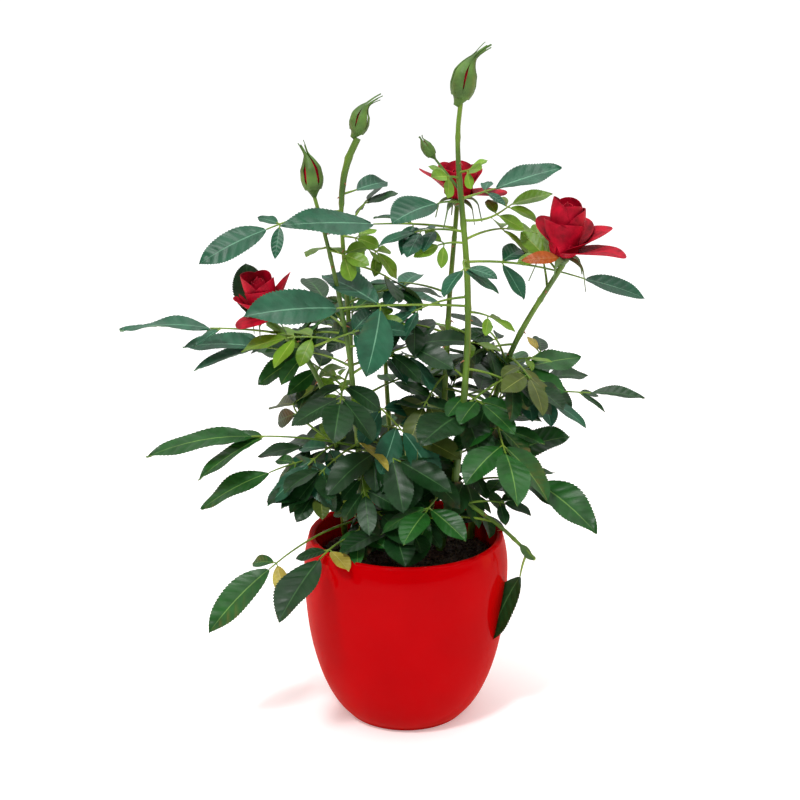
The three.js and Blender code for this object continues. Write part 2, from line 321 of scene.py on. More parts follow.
class Skin:
    """A material being made: patterns in the object's own space, and the shader that they feed."""

    def __init__(self, name: str) -> None:
        """Starts an empty material."""
        self.material = bpy.data.materials.new(name)
        self.material.use_nodes = True
        self.tree = self.material.node_tree
        self.tree.nodes.clear()

    def spot(self, stretch: Triple = (1, 1, 1)) -> Socket:
        """Returns the object's own coordinates, in metres, stretched along each axis."""
        own = add_node(self.tree, "ShaderNodeTexCoord").outputs["Object"]
        return add_node(self.tree, "ShaderNodeMapping", {"Scale": stretch}, {"Vector": own}).outputs["Vector"]

    def noise(self, per_metre: float, detail: float, spot: Socket) -> Socket:
        """Returns a cloudy pattern from 0 to 1, so many lumps in a metre, with finer layers as detail."""
        settings = {"Scale": per_metre, "Detail": detail}
        return add_node(self.tree, "ShaderNodeTexNoise", settings, {"Vector": spot}).outputs["Fac"]

    def cells(self, per_metre: float, spot: Socket) -> Socket:
        """Returns a pattern of packed round cells, so many in a metre."""
        made = add_node(self.tree, "ShaderNodeTexVoronoi", {"Scale": per_metre}, {"Vector": spot})
        return made.outputs["Distance"]

    def blend(self, pattern: Socket, stops: tuple[float, float], colours: Sequence[Colour]) -> Socket:
        """Makes a colour that follows a pattern.

        Args:
            pattern: the pattern.
            stops: its values where the colour leaves the first one and reaches the second.
            colours: the two linear colours.

        Returns:
            The colour.
        """
        made = add_node(self.tree, "ShaderNodeValToRGB", {}, {"Fac": pattern})
        for element, stop, colour in zip(made.color_ramp.elements, stops, colours):
            element.position = stop
            element.color = colour
        return made.outputs["Color"]

    def relief(self, height: Socket, strength: float, depth_mm: float, over: Socket | None = None) -> Socket:
        """Makes the normals of a surface with a pattern raised on it.

        Args:
            height: the pattern.
            strength: how much of the relief is felt.
            depth_mm: its depth in millimetres.
            over: the normals of a coarser relief under it.

        Returns:
            The normals.
        """
        links = {"Height": height} if over is None else {"Height": height, "Normal": over}
        settings = {"Strength": strength, "Distance": depth_mm * MM}
        return add_node(self.tree, "ShaderNodeBump", settings, links).outputs["Normal"]

    def finish(self, settings: dict[str, object], links: dict[str, Socket]) -> bpy.types.Material:
        """Adds the shader with its settings and links, and returns the finished material."""
        shader = add_node(self.tree, "ShaderNodeBsdfPrincipled", settings, links)
        add_node(self.tree, "ShaderNodeOutputMaterial", {}, {"Surface": shader.outputs["BSDF"]})
        return self.material


@dataclass(frozen=True)
class LeafSkin:
    """Rose leaf: a waxy cuticle over a cell layer, so a broad soft sheen over a fine pebbled skin."""

    name: str
    colour: str
    roughness: float = 0.38
    mottle: float = 0.24
    mottle_per_metre: float = 90.0
    mottle_stops: tuple[float, float] = (0.35, 0.68)
    gloss_range: tuple[float, float] = (-0.06, 0.1)
    cell_mm: float = 0.8
    relief_mm: float = 0.09

    def material(self) -> bpy.types.Material:
        """Returns the leaf's material: mottled colour, fine cells in the bump, waxy sheen."""
        skin = Skin(self.name)
        spot = skin.spot()
        patches = skin.noise(self.mottle_per_metre, 3.0, spot)
        pure = linear(self.colour)[:3]
        tones = [(*(part * share for part in pure), 1) for share in (1 - self.mottle, 1 + self.mottle)]
        low, high = self.gloss_range
        sheen = add_node(
            skin.tree,
            "ShaderNodeMapRange",
            {"To Min": self.roughness + low, "To Max": self.roughness + high},
            {"Value": patches},
        )
        pebbles = skin.cells(1 / (self.cell_mm * MM), spot)
        links = {
            "Base Color": skin.blend(patches, self.mottle_stops, tones),
            "Roughness": sheen.outputs["Result"],
            "Normal": skin.relief(pebbles, 0.35, self.relief_mm),
        }
        return skin.finish({"IOR": 1.45, "Specular IOR Level": 0.36}, links)


@dataclass(frozen=True)
class PetalVelvet:
    """Rose petal: cone-shaped skin cells, so a velvety bloom at grazing angles over deep crimson."""

    name: str
    colour: str
    deep: str
    sheen: float = 0.06
    patches_per_metre: float = 140.0
    patch_stops: tuple[float, float] = (0.3, 0.62)
    streaks_per_metre: float = 900.0
    streak_stretch: Triple = (1, 1, 0.2)
    streak_depth_mm: float = 0.15

    def material(self) -> bpy.types.Material:
        """Returns the petal's material: crimson with darker patches, fine streaks and velvet sheen."""
        skin = Skin(self.name)
        patches = skin.noise(self.patches_per_metre, 4.0, skin.spot())
        tone = skin.blend(patches, self.patch_stops, (linear(self.deep), linear(self.colour)))
        streaks = skin.noise(self.streaks_per_metre, 2.0, skin.spot(self.streak_stretch))
        settings = {
            "Roughness": 0.6,
            "IOR": 1.4,
            "Specular IOR Level": 0.2,
            "Sheen Weight": self.sheen,
            "Sheen Roughness": 0.4,
            "Sheen Tint": linear("ff6080"),
        }
        velvet = skin.relief(streaks, 0.25, self.streak_depth_mm)
        return skin.finish(settings, {"Base Color": tone, "Normal": velvet})


@dataclass(frozen=True)
class GreenBark:
    """Young rose wood: smooth green bark with fine lengthwise fibres and browner patches."""

    name: str
    colour: str
    shade: str
    patches_per_metre: float = 70.0
    patch_stretch: Triple = (1, 1, 0.4)
    patch_stops: tuple[float, float] = (0.36, 0.62)
    fibre_mm: float = 0.5
    fibre_stretch: Triple = (1, 1, 0.08)
    fibre_depth_mm: float = 0.12

    def material(self) -> bpy.types.Material:
        """Returns the bark's material: green with fibres stretched along the cane."""
        skin = Skin(self.name)
        patches = skin.noise(self.patches_per_metre, 3.0, skin.spot(self.patch_stretch))
        tone = skin.blend(patches, self.patch_stops, (linear(self.shade), linear(self.colour)))
        fibres = skin.noise(1 / (self.fibre_mm * MM), 2.0, skin.spot(self.fibre_stretch))
        links = {"Base Color": tone, "Normal": skin.relief(fibres, 0.5, self.fibre_depth_mm)}
        return skin.finish({"Roughness": 0.42, "IOR": 1.45}, links)


@dataclass(frozen=True)
class RedGlaze:
    """Fired glaze over earthenware: a glassy clear layer, faintly wavy where it ran, over even red."""

    name: str = "red_gloss_glaze_on_earthenware"
    colour: str = "b00005"
    thin: str = "a60004"
    runs_per_metre: float = 22.0
    run_stops: tuple[float, float] = (0.3, 0.7)
    waves_per_metre: float = 60.0
    wave_depth_mm: float = 0.5
    pits_per_metre: float = 900.0
    pit_depth_mm: float = 0.1

    def material(self) -> bpy.types.Material:
        """Returns the glaze's material: red with a slightly thinner tone in places, under a clear coat, with
        an orange sheen that is painted warm reflection.
        """
        skin = Skin(self.name)
        spot = skin.spot()
        runs = skin.noise(self.runs_per_metre, 2.0, spot)
        tone = skin.blend(runs, self.run_stops, (linear(self.thin), linear(self.colour)))
        waves = skin.relief(skin.noise(self.waves_per_metre, 1.0, spot), 0.12, self.wave_depth_mm)
        pitted = skin.relief(skin.noise(self.pits_per_metre, 1.0, spot), 0.03, self.pit_depth_mm, waves)
        settings = {
            "Roughness": 0.5,
            "IOR": 1.5,
            "Specular IOR Level": 0.0,
            "Coat Weight": 0.13,
            "Coat Roughness": 0.03,
            "Coat IOR": 1.34,
            # The orange sheen is painted reflection: a warm glow along the pot's flanks, not a colour of the
            # glaze.
            "Sheen Weight": 0.14,
            "Sheen Roughness": 0.3,
            "Sheen Tint": linear("ff8030"),
        }
        return skin.finish(settings, {"Base Color": tone, "Normal": pitted, "Coat Normal": pitted})


@dataclass(frozen=True)
class PottingCompost:
    """Moist peat and bark compost: dark, matt and crumbly, with paler fibres here and there."""

    name: str = "moist_potting_compost"
    colour: str = "2a1c14"
    fibre: str = "5c4430"
    flecks_per_metre: float = 600.0
    fleck_stops: tuple[float, float] = (0.5, 0.75)
    crumbs_per_metre: float = 420.0
    crumb_depth_mm: float = 1.2

    def material(self) -> bpy.types.Material:
        """Returns the compost's material: near-black crumbs with brown flecks and strong fine relief."""
        skin = Skin(self.name)
        spot = skin.spot()
        flecks = skin.noise(self.flecks_per_metre, 6.0, spot)
        tone = skin.blend(flecks, self.fleck_stops, (linear(self.colour), linear(self.fibre)))
        crumbs = skin.relief(skin.cells(self.crumbs_per_metre, spot), 0.9, self.crumb_depth_mm)
        links = {"Base Color": tone, "Normal": crumbs}
        return skin.finish({"Roughness": 0.9, "Specular IOR Level": 0.25}, links)


# ---------------------------------------------------------------- reading the frame


@dataclass
class Spine:
    """A centre line, the side that its blades spread to, and a cane's radii along it."""

    TANGENT_REACH = 0.04

    path: Array
    side: Array
    radii: Array | None = None

    @property
    def length(self) -> float:
        """Returns the length of the centre line."""
        return float(np.linalg.norm(np.diff(self.path, axis=0), axis=1).sum())

    def at(self, share: float) -> Array:
        """Returns the point at a share of the centre line."""
        steps = np.linspace(0, 1, len(self.path))
        return np.array([np.interp(share, steps, self.path[:, k]) for k in range(3)])

    def along(self, share: float) -> Array:
        """Returns the unit direction of the centre line at a share of it."""
        reach = self.TANGENT_REACH
        return unit(self.at(min(share + reach, 1)) - self.at(max(share - reach, 0)))

    def radius(self, share: float | Array) -> Array:
        """Returns the radius at one share of the centre line, or at many."""
        return np.interp(share, np.linspace(0, 1, len(self.radii)), self.radii)


SPINE_SLICES = 14
SPINE_SAMPLES = 4000
SPINE_POINTS = 25
SAMPLE_SEED = 7
# The part of a leaf mass, as shares of its length, whose spread tells which way its blade lies.
BROAD_PART = (0.4, 0.85)


def surface_samples(node: str, count: int) -> Array:
    """Returns points spread evenly over a CAD node's surface, the same ones on each run.

    Args:
        node: the CAD node's name.
        count: how many points.

    Returns:
        The points, in metres.
    """
    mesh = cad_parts[node].data
    mesh.calc_loop_triangles()
    points = np.zeros(len(mesh.vertices) * 3)
    mesh.vertices.foreach_get("co", points)
    corners = np.zeros(len(mesh.loop_triangles) * 3, np.int32)
    mesh.loop_triangles.foreach_get("vertices", corners)
    a, b, c = points.reshape(-1, 3)[corners.reshape(-1, 3)].transpose(1, 0, 2)
    area = np.linalg.norm(np.cross(b - a, c - a), axis=1)
    rng = np.random.default_rng(SAMPLE_SEED)
    pick = rng.choice(len(area), count, p=area / area.sum())
    u, v = rng.random((2, count, 1))
    flip = u + v > 1
    u, v = np.where(flip, 1 - u, u), np.where(flip, 1 - v, v)
    return a[pick] + (b - a)[pick] * u + (c - a)[pick] * v


def sliced(points: Array, share: Array, count: int) -> list[Array]:
    """Returns points dealt into so many slices by their share of a length."""
    number = np.clip((share * count).astype(int), 0, count - 1)
    return [points[number == k] for k in range(count)]


def fitted(centres: Array, degree: int) -> Callable[[Array], Array]:
    """Fits a smooth line through the middles of even slices.

    Args:
        centres: the slices' middles, in order.
        degree: how freely the line bends.

    Returns:
        A function that turns shares of the line into points on it.
    """
    at = (np.arange(len(centres)) + 0.5) / len(centres)
    fits = [np.polyfit(at, centres[:, k], degree) for k in range(3)]
    return lambda t: np.stack([np.polyval(fit, t) for fit in fits], axis=-1)


def read_spine(node: str, degree: int, start: Array | None = None) -> Spine:
    """Reads a long node as a spine.

    Args:
        node: the CAD node's name.
        degree: how freely the centre line bends.
        start: a place that the spine's foot is nearer to than its tip; without one, the foot is
            the thinner end.

    Returns:
        The spine, starting at its foot.
    """
    points = surface_samples(node, SPINE_SAMPLES)
    middle = points.mean(axis=0)
    axes = np.linalg.svd(points - middle, full_matrices=False)[2]
    share = (points - middle) @ axes[0]
    low, high = share.min(), share.max()
    share = (share - low) / (high - low)
    parts = sliced(points, share, SPINE_SLICES)
    centres = np.array([part.mean(axis=0) for part in parts])
    offsets = [np.cross(part - centre, axes[0]) for part, centre in zip(parts, centres)]
    radii = np.array([np.linalg.norm(offset, axis=1).mean() for offset in offsets])
    if start is None:
        backwards = radii[:2].mean() > radii[-2:].mean()
    else:
        backwards = np.linalg.norm(centres[0] - start) > np.linalg.norm(centres[-1] - start)
    if backwards:
        share, centres, radii = 1 - share, centres[::-1], radii[::-1]
    steps = np.linspace(0, 1, SPINE_POINTS)
    path = fitted(centres, degree)(steps)
    tangent = unit(path[-1] - path[0])
    wide = points[(share > BROAD_PART[0]) & (share < BROAD_PART[1])]
    flat = wide - wide.mean(axis=0)
    flat = flat - np.outer(flat @ tangent, tangent)
    side = np.linalg.svd(flat, full_matrices=False)[2][0]
    if np.cross(tangent, side) @ UP < 0:
        side = -side
    middles = (np.arange(SPINE_SLICES) + 0.5) / SPINE_SLICES
    return Spine(path, side, np.interp(steps, middles, radii))


# ---------------------------------------------------------------- leaves


class Tint(Enum):
    """The states of leaf that the plant carries, dealt out by spray."""

    BLUE = "blue"
    DEEP = "deep"
    MID = "mid"
    YOUNG = "young"
    OLIVE = "olive"
    YELLOW = "yellow"
    RUST = "rust"


# Upper skin, paler underside and midrib of each tint.
LEAF_COLOURS = {
    Tint.BLUE: ("1e5239", "4e7454", "58886c"),
    # Deep: the dark green of older leaves, darkened further as painted shade for the low inner crown, where
    # it is dealt out most.
    Tint.DEEP: ("113614", "3a582a", "365c30"),
    Tint.MID: ("1b5019", "587832", "5c843c"),
    Tint.YOUNG: ("648a20", "7c9036", "90a448"),
    Tint.OLIVE: ("46561e", "6a7636", "76803c"),
    Tint.YELLOW: ("a0923a", "a89c4c", "b8ac60"),
    Tint.RUST: ("a4501a", "90522a", "ac6c30"),
}


@dataclass(frozen=True)
class Blade:
    """A rose leaflet: toothed oval blade folded along its midrib, quilted between its side veins."""

    teeth: int = 22
    tooth_depth: float = 0.07
    tooth_lean: float = 0.72
    sweep: float = 0.7
    rib: float = 0.04
    inner: tuple[float, ...] = (0.34, 0.68)
    quilt: float = 0.011
    thickness: float = 0.5 * MM
    base_power: float = 0.52
    tip_power: float = 1.0
    end_trim: float = 0.004
    crease: tuple[float, ...] = (1.0, 0.4, 0.1, 0.0, 0.1, 0.4)

    def stations(self) -> Array:
        """Returns the places of the rows along the midrib, a notch and a tip for each tooth."""
        notches = np.arange(self.teeth) / self.teeth
        tips = notches + self.tooth_lean / self.teeth
        return np.append(np.stack([notches, tips], axis=1).ravel(), 1.0)

    def columns(self) -> Array:
        """Returns the places of the upper points across the blade, from edge to edge."""
        half = np.array([self.rib, *self.inner, 1.0])
        return np.concatenate([-half[::-1], half])

    def under_columns(self) -> Array:
        """Returns the places of the lower points between the two edges."""
        half = np.array(self.inner)
        return np.concatenate([-half[::-1], [0.0], half])

    def topology(self) -> tuple[Array, Array, Array]:
        """Returns the corners, corner counts and material slots of the blade's faces."""
        rows, across = 2 * self.teeth + 1, len(self.columns())
        under = len(self.under_columns())
        top = grid_faces(rows, across)
        slots = np.zeros(len(top), int)
        slots[np.arange(len(top)) % (across - 1) == across // 2 - 1] = 2
        first = rows * across
        number = np.zeros((rows, under + 2), int)
        number[:, 0] = np.arange(rows) * across
        number[:, -1] = np.arange(rows) * across + across - 1
        number[:, 1:-1] = first + np.arange(rows * under).reshape(rows, under)
        a, b = number[:-1, :-1].ravel(), number[:-1, 1:].ravel()
        c, d = number[1:, 1:].ravel(), number[1:, :-1].ravel()
        below = np.stack([a, d, c, b], axis=1)
        base = np.concatenate([np.arange(across)[::-1], number[0, 1:-1]])
        tip = np.concatenate([np.arange(across) + (rows - 1) * across, number[-1, 1:-1][::-1]])
        corners = np.concatenate([top.ravel(), below.ravel(), base, tip])
        counts = np.concatenate([np.full(len(top) + len(below), 4), [len(base), len(tip)]])
        slots = np.concatenate([slots, np.ones(len(below), int), [1, 1]])
        return corners, counts, slots

    def outline(self, rows: Array) -> Array:
        """Returns the half width at each row, as a share of the greatest."""
        peak = self.base_power / (self.base_power + self.tip_power)
        top = peak**self.base_power * (1 - peak) ** self.tip_power
        inner = np.clip(rows, self.end_trim, 1 - self.end_trim)
        smooth = inner**self.base_power * (1 - inner) ** self.tip_power / top
        notch = np.arange(len(rows)) % 2 == 0
        return smooth * np.where(notch, 1 - self.tooth_depth, 1.0)


@dataclass(frozen=True)
class Pose:
    """How one leaflet is held: where it starts, its direction and facing, size and bends."""

    base: Array
    aim: Array
    face: Array
    length: float
    width: float
    fold: float
    arch: float
    twist: float
    wave: float
    phase: float


class BladeMaker:
    """Makes leaflets of one blade form."""

    WAVE_ALONG = 9
    WAVE_ACROSS = 2.5

    def __init__(self, blade: Blade) -> None:
        """Keeps the blade's faces, which every leaflet shares.

        Args:
            blade: the blade's form.
        """
        self.blade = blade
        self.corners, self.counts, self.slots = blade.topology()
        self.rows = blade.stations()
        self.half = blade.outline(self.rows)

    def surface(self, pose: Pose, columns: Array, below: float) -> Array:
        """Returns rows by columns of points on one side of a leaflet.

        Args:
            pose: how the leaflet is held.
            columns: places across the blade, from -1 to 1.
            below: how far under the upper skin the points lie.

        Returns:
            The points.
        """
        blade = self.blade
        v = columns[None, :]
        u = self.rows[:, None]
        half = self.half[:, None] * pose.width / 2
        y = v * half
        s = pose.length * u + blade.sweep * np.abs(y)
        crease = np.resize(blade.crease, len(self.rows))[:, None]
        between = 4 * np.abs(v) * (1 - np.abs(v))
        z = np.abs(y) * math.tan(pose.fold)
        z = z - blade.quilt * pose.length * crease * between
        ripple = np.sin(self.WAVE_ALONG * u + self.WAVE_ACROSS * v + pose.phase)
        z = z + pose.wave * pose.length * ripple * v * v
        z = z - below * (1 - v * v)
        bend = pose.arch / pose.length
        angle = s * bend
        forward = np.sin(angle) / bend
        drop = (1 - np.cos(angle)) / bend
        turned = pose.twist * u
        across = y * np.cos(turned) - z * np.sin(turned)
        raised = y * np.sin(turned) + z * np.cos(turned)
        x = forward + raised * np.sin(angle)
        h = -drop + raised * np.cos(angle)
        side = unit(np.cross(pose.face, pose.aim))
        face = np.cross(pose.aim, side)
        return pose.base + x[..., None] * pose.aim + across[..., None] * side + h[..., None] * face

    def make(self, pose: Pose) -> Shape:
        """Returns the leaflet held in that pose."""
        upper = self.surface(pose, self.blade.columns(), 0.0)
        under = self.surface(pose, self.blade.under_columns(), self.blade.thickness)
        points = np.concatenate([upper.reshape(-1, 3), under.reshape(-1, 3)])
        return Shape(points, self.corners, self.counts, self.slots)


@dataclass(frozen=True)
class SprayPlan:
    """How one compound leaf is dressed: its tint, its leaflets and how they are held.

    The end leaflet is a share of the leaf's length, and the side ones are a share of the end one.
    The first pair stands at a share of the bare stalk, and every pair spreads from it in degrees.
    """

    tint: Tint
    leaflets: int = 5
    terminal: float = 0.46
    breadth: float = 0.5
    lateral: float = 0.86
    first: float = 0.88
    spread: float = 56.0
    odd_tint: Tint | None = None


DEEP, BLUE, MID = Tint.DEEP, Tint.BLUE, Tint.MID
YOUNG, OLIVE, YELLOW, RUST = Tint.YOUNG, Tint.OLIVE, Tint.YELLOW, Tint.RUST

# The dressing of each foliage mass, by the number at the end of its node's name.
SPRAYS: dict[str, list[SprayPlan]] = {
    "tall": [
        SprayPlan(MID, 3),
        SprayPlan(DEEP, 5),
        SprayPlan(BLUE, 3, terminal=0.42, breadth=0.46, lateral=0.84, first=0.68, spread=64),
        SprayPlan(YOUNG, 5, terminal=0.4, lateral=0.8),
        SprayPlan(BLUE, 3),
        SprayPlan(BLUE, 3, terminal=0.34, breadth=0.46, lateral=0.75, first=0.28),
        SprayPlan(BLUE, 1, terminal=0.72, breadth=0.7),
        SprayPlan(BLUE, 3, terminal=0.66, breadth=0.42, lateral=0.38, first=0.7),
    ],
    "middle": [
        SprayPlan(DEEP, 5),
        SprayPlan(BLUE, 3, terminal=0.53, breadth=0.38, lateral=0.44, first=0.52),
    ],
    "left": [
        SprayPlan(DEEP, 5),
        SprayPlan(BLUE, 3),
        SprayPlan(DEEP, 5),
        SprayPlan(YOUNG, 5, lateral=0.7),
        SprayPlan(BLUE, 3, terminal=0.5, breadth=0.4, lateral=0.4, first=0.8),
        SprayPlan(BLUE, 1, terminal=0.7),
    ],
    "front": [
        SprayPlan(DEEP, 3, terminal=0.52, breadth=0.48, lateral=0.42, first=0.75, odd_tint=YELLOW),
        SprayPlan(MID, 3, terminal=0.44, breadth=0.44, lateral=0.44, first=0.92, odd_tint=YELLOW),
        SprayPlan(YELLOW, 1, terminal=0.8, breadth=0.36),
        SprayPlan(MID, 3, terminal=0.5, breadth=0.34, lateral=0.7, spread=24),
        SprayPlan(DEEP, 5, terminal=0.46, breadth=0.58, odd_tint=OLIVE),
        SprayPlan(DEEP, 5, breadth=0.58),
    ],
    "side": [
        SprayPlan(MID, 3, terminal=0.54, breadth=0.4, lateral=0.42, first=0.6),
        SprayPlan(DEEP, 5, breadth=0.56, spread=48, odd_tint=OLIVE),
        SprayPlan(BLUE, 3, terminal=0.6, breadth=0.36, lateral=0.9, first=0.9, spread=15),
        SprayPlan(BLUE, 3, terminal=0.56, breadth=0.34, lateral=0.34, first=0.85, spread=40),
        SprayPlan(DEEP, 1, terminal=0.85, breadth=0.56),
    ],
    "right": [
        SprayPlan(MID, 1, terminal=0.72, breadth=0.56),
        SprayPlan(MID, 3, terminal=0.56, breadth=0.44, lateral=0.36, first=0.7),
        SprayPlan(DEEP, 3, terminal=0.55),
        SprayPlan(DEEP, 5),
        SprayPlan(MID, 5, terminal=0.42),
        SprayPlan(DEEP, 3, terminal=0.38, breadth=0.36, lateral=0.5, spread=36),
        SprayPlan(DEEP, 3, lateral=0.6),
        SprayPlan(DEEP, 3, terminal=0.5, lateral=0.5, odd_tint=YELLOW),
        SprayPlan(YOUNG, 3),
    ],
    "rear": [SprayPlan(DEEP, 5), SprayPlan(DEEP, 5), SprayPlan(BLUE, 5)],
    "low": [
        SprayPlan(DEEP, 1, terminal=0.72, breadth=0.46),
        SprayPlan(DEEP, 1, terminal=0.86, breadth=0.46),
    ],
}


# Small young leaves: cane, share of its length, and reach of the tip in millimetres.
SPRIGS = (
    ("tall", 0.85, (-19, -20, 2)),
    ("tall", 0.86, (14, -20, 4)),
    ("front", 0.86, (26, -12, -8)),
    ("left", 0.78, (24, -14, -4)),
    ("right", 0.97, (-22, 16, 22)),
)


class Foliage:
    """All the leaves, in one pool for each tint, and their stalks in another.

    Ranges are the least and most of a random draw. Angles are in degrees, folds and arches in
    radians. A side leaflet strays by up to SPREAD_ANGLE, and each further pair opens by as much.
    """

    PIECE_LIMIT = 190_000
    UNDERSIDE_ROUGHNESS = 0.62
    MIDRIB_ROUGHNESS = 0.5

    LENGTH_RANGE = (0.95, 1.05)
    WIDTH_RANGE = (0.92, 1.1)
    FOLD_RANGE = (0.05, 0.32)
    ARCH_RANGE = (0.1, 0.6)
    TWIST_SPREAD = 0.14
    WAVE_RANGE = (0.008, 0.026)
    PHASE_RANGE = (0, 6.28)

    STALK_RADIUS = (0.95 * MM, 0.5 * MM)
    STALK_STEPS = 12
    STALK_SIDES = 6
    STUB_SIDES = 5
    STUB_RADII = np.array([0.55, 0.45, 0.38]) * MM
    STUB_LENGTH = 2.0 * MM
    PAIR_SHARE = (1.0, 0.82, 0.64)
    PAIR_STEP = 0.3
    PAIR_UNEVENNESS = 0.02
    LATERAL_MOST = 46 * MM
    LATERAL_RANGE = (0.88, 1.08)
    LATERAL_BREADTH = 1.08
    SPREAD_ANGLE = 9
    DROOP_ANGLE = (2, 22)
    LEAN_ANGLE = (-8, 16)
    END_LIFT = 0.16

    SPRIG_PLAN = SprayPlan(YOUNG, 3, terminal=0.6, breadth=0.6, lateral=0.8, first=0.9)
    SPRIG_RISE = 4 * MM
    SPRIG_FACING = np.array([0.0, -1.4, 1.0])

    DEAD_OFFSET = np.array([-3.0, -6.0, 5.0]) * MM
    DEAD_AIM = np.array([-1.0, -0.12, 0.02])
    DEAD_FACE = np.array([0.0, -0.75, 0.65])
    DEAD_STALK = np.array([0.6, 0.5, 0.45]) * MM
    DEAD_LENGTH = 24 * MM
    DEAD_BREADTH = 0.36

    def __init__(self, seed: int) -> None:
        """Starts with empty pools.

        Args:
            seed: the seed of every random draw.
        """
        self.rng = np.random.default_rng(seed)
        self.full = BladeMaker(Blade())
        self.plain = BladeMaker(Blade(teeth=14, inner=(0.5,)))
        self.pools = {tint: Pool(f"leaves_{tint.value}") for tint in Tint}
        self.stands_for: dict[Tint, list[str]] = {tint: [] for tint in Tint}
        self.stalks = Pool("leaf_stalks")

    def leaflet(
        self,
        maker: BladeMaker,
        tint: Tint,
        base: Array,
        aim: Array,
        face: Array,
        length: float,
        breadth: float,
    ) -> None:
        """Adds one leaflet with its own small differences.

        Args:
            maker: the blade's form.
            tint: its colour.
            base: where its blade starts.
            aim: the direction of its midrib at the base.
            face: the side that its upper skin looks to.
            length: the midrib's length.
            breadth: width as a share of the length.
        """
        rng = self.rng
        aim = unit(aim)
        face = unit(face - aim * (face @ aim))
        pose = Pose(
            base=base,
            aim=aim,
            face=face,
            length=length * rng.uniform(*self.LENGTH_RANGE),
            width=length * breadth * rng.uniform(*self.WIDTH_RANGE),
            fold=rng.uniform(*self.FOLD_RANGE),
            arch=rng.uniform(*self.ARCH_RANGE),
            twist=rng.normal(0, self.TWIST_SPREAD),
            wave=rng.uniform(*self.WAVE_RANGE),
            phase=rng.uniform(*self.PHASE_RANGE),
        )
        self.pools[tint].add(maker.make(pose))

    def compound(self, spine: Spine, plan: SprayPlan, maker: BladeMaker) -> None:
        """Adds a compound leaf along a spine: stalk, leaflets in pairs and one at the end.

        Args:
            spine: the leaf's centre line, from the cane outwards.
            plan: how it is dressed.
            maker: the form of its blades.
        """
        blade_start = 1 - plan.terminal
        path = np.array([spine.at(t) for t in np.linspace(0, blade_start, self.STALK_STEPS)])
        radii = np.linspace(*self.STALK_RADIUS, len(path))
        self.stalks.add(tube(path, radii, self.STALK_SIDES))
        end_length = spine.length * plan.terminal
        for k in range((plan.leaflets - 1) // 2):
            share = blade_start * (plan.first - self.PAIR_STEP * k - self.PAIR_UNEVENNESS * self.rng.random())
            size = min(end_length * plan.lateral * self.PAIR_SHARE[k], self.LATERAL_MOST)
            self.pair(spine, share, k, size, plan, maker)
        tangent = spine.along(blade_start)
        face = unit(np.cross(tangent, spine.side))
        chord = unit(spine.at(1.0) - spine.at(blade_start))
        aim = unit(chord + face * self.END_LIFT)
        self.leaflet(maker, plan.tint, spine.at(blade_start), aim, face, end_length, plan.breadth)

    def pair(
        self, spine: Spine, share: float, k: int, size: float, plan: SprayPlan, maker: BladeMaker
    ) -> None:
        """Adds one pair of side leaflets on their short stubs.

        Args:
            spine: the leaf's centre line.
            share: where on it the pair stands.
            k: the pair's number, counted from the end leaflet.
            size: the length of its leaflets.
            plan: how the leaf is dressed.
            maker: the form of its blades.
        """
        rng = self.rng
        base, tangent = spine.at(share), spine.along(share)
        side = unit(spine.side - tangent * (spine.side @ tangent))
        face = np.cross(tangent, side)
        for hand in (-1, 1):
            uneven = rng.uniform(-self.SPREAD_ANGLE, self.SPREAD_ANGLE)
            spread = math.radians(plan.spread + uneven + self.SPREAD_ANGLE * k)
            droop = math.radians(rng.uniform(*self.DROOP_ANGLE))
            aim = tangent * math.cos(spread) + hand * side * math.sin(spread)
            aim = unit(aim * math.cos(droop) - face * math.sin(droop))
            lean = turn(face, aim, hand * math.radians(rng.uniform(*self.LEAN_ANGLE)))
            foot = base + aim * self.STUB_LENGTH
            stub = np.array([base, base + aim * MM, foot + aim * 1.5 * MM])
            self.stalks.add(tube(stub, self.STUB_RADII, self.STUB_SIDES))
            tint = plan.odd_tint if plan.odd_tint and k == 0 and hand > 0 else plan.tint
            length = size * rng.uniform(*self.LATERAL_RANGE)
            self.leaflet(maker, tint, foot, aim, lean, length, plan.breadth * self.LATERAL_BREADTH)

    def cover(self, node: str, plan: SprayPlan, limbs: Array) -> None:
        """Grows a compound leaf in place of one foliage mass, from the nearest limb.

        Args:
            node: the mass's CAD node.
            plan: how it is dressed.
            limbs: points along the centre lines of the canes.
        """
        spine = read_spine(node, 3)
        joint = limbs[np.argmin(np.linalg.norm(limbs - spine.path[0], axis=1))]
        fade = (1 - np.linspace(0, 1, len(spine.path))[:, None]) ** 2
        spine.path = spine.path + (joint - spine.path[0]) * fade
        self.compound(spine, plan, self.full)
        self.stands_for[plan.tint].append(node)

    def sprig(self, start: Array, tip: Array) -> None:
        """Adds a small young leaf that faces the front and the light.

        Args:
            start: where it leaves its cane.
            tip: where it ends.
        """
        steps = np.linspace(0, 1, SPINE_POINTS)[:, None]
        path = start + (tip - start) * steps + UP * self.SPRIG_RISE * steps * (1 - steps)
        side = unit(np.cross(self.SPRIG_FACING, tip - start))
        self.compound(Spine(path, side), self.SPRIG_PLAN, self.plain)

    def withered(self, stem: Array) -> None:
        """Adds the small dead leaflet under a bloom.

        Args:
            stem: where the bloom's cane ends.
        """
        base = stem + self.DEAD_OFFSET
        self.stalks.add(tube(np.array([stem, (stem + base) / 2, base]), self.DEAD_STALK, self.STUB_SIDES))
        aim, face = self.DEAD_AIM, self.DEAD_FACE
        self.leaflet(self.full, RUST, base, aim, face, self.DEAD_LENGTH, self.DEAD_BREADTH)

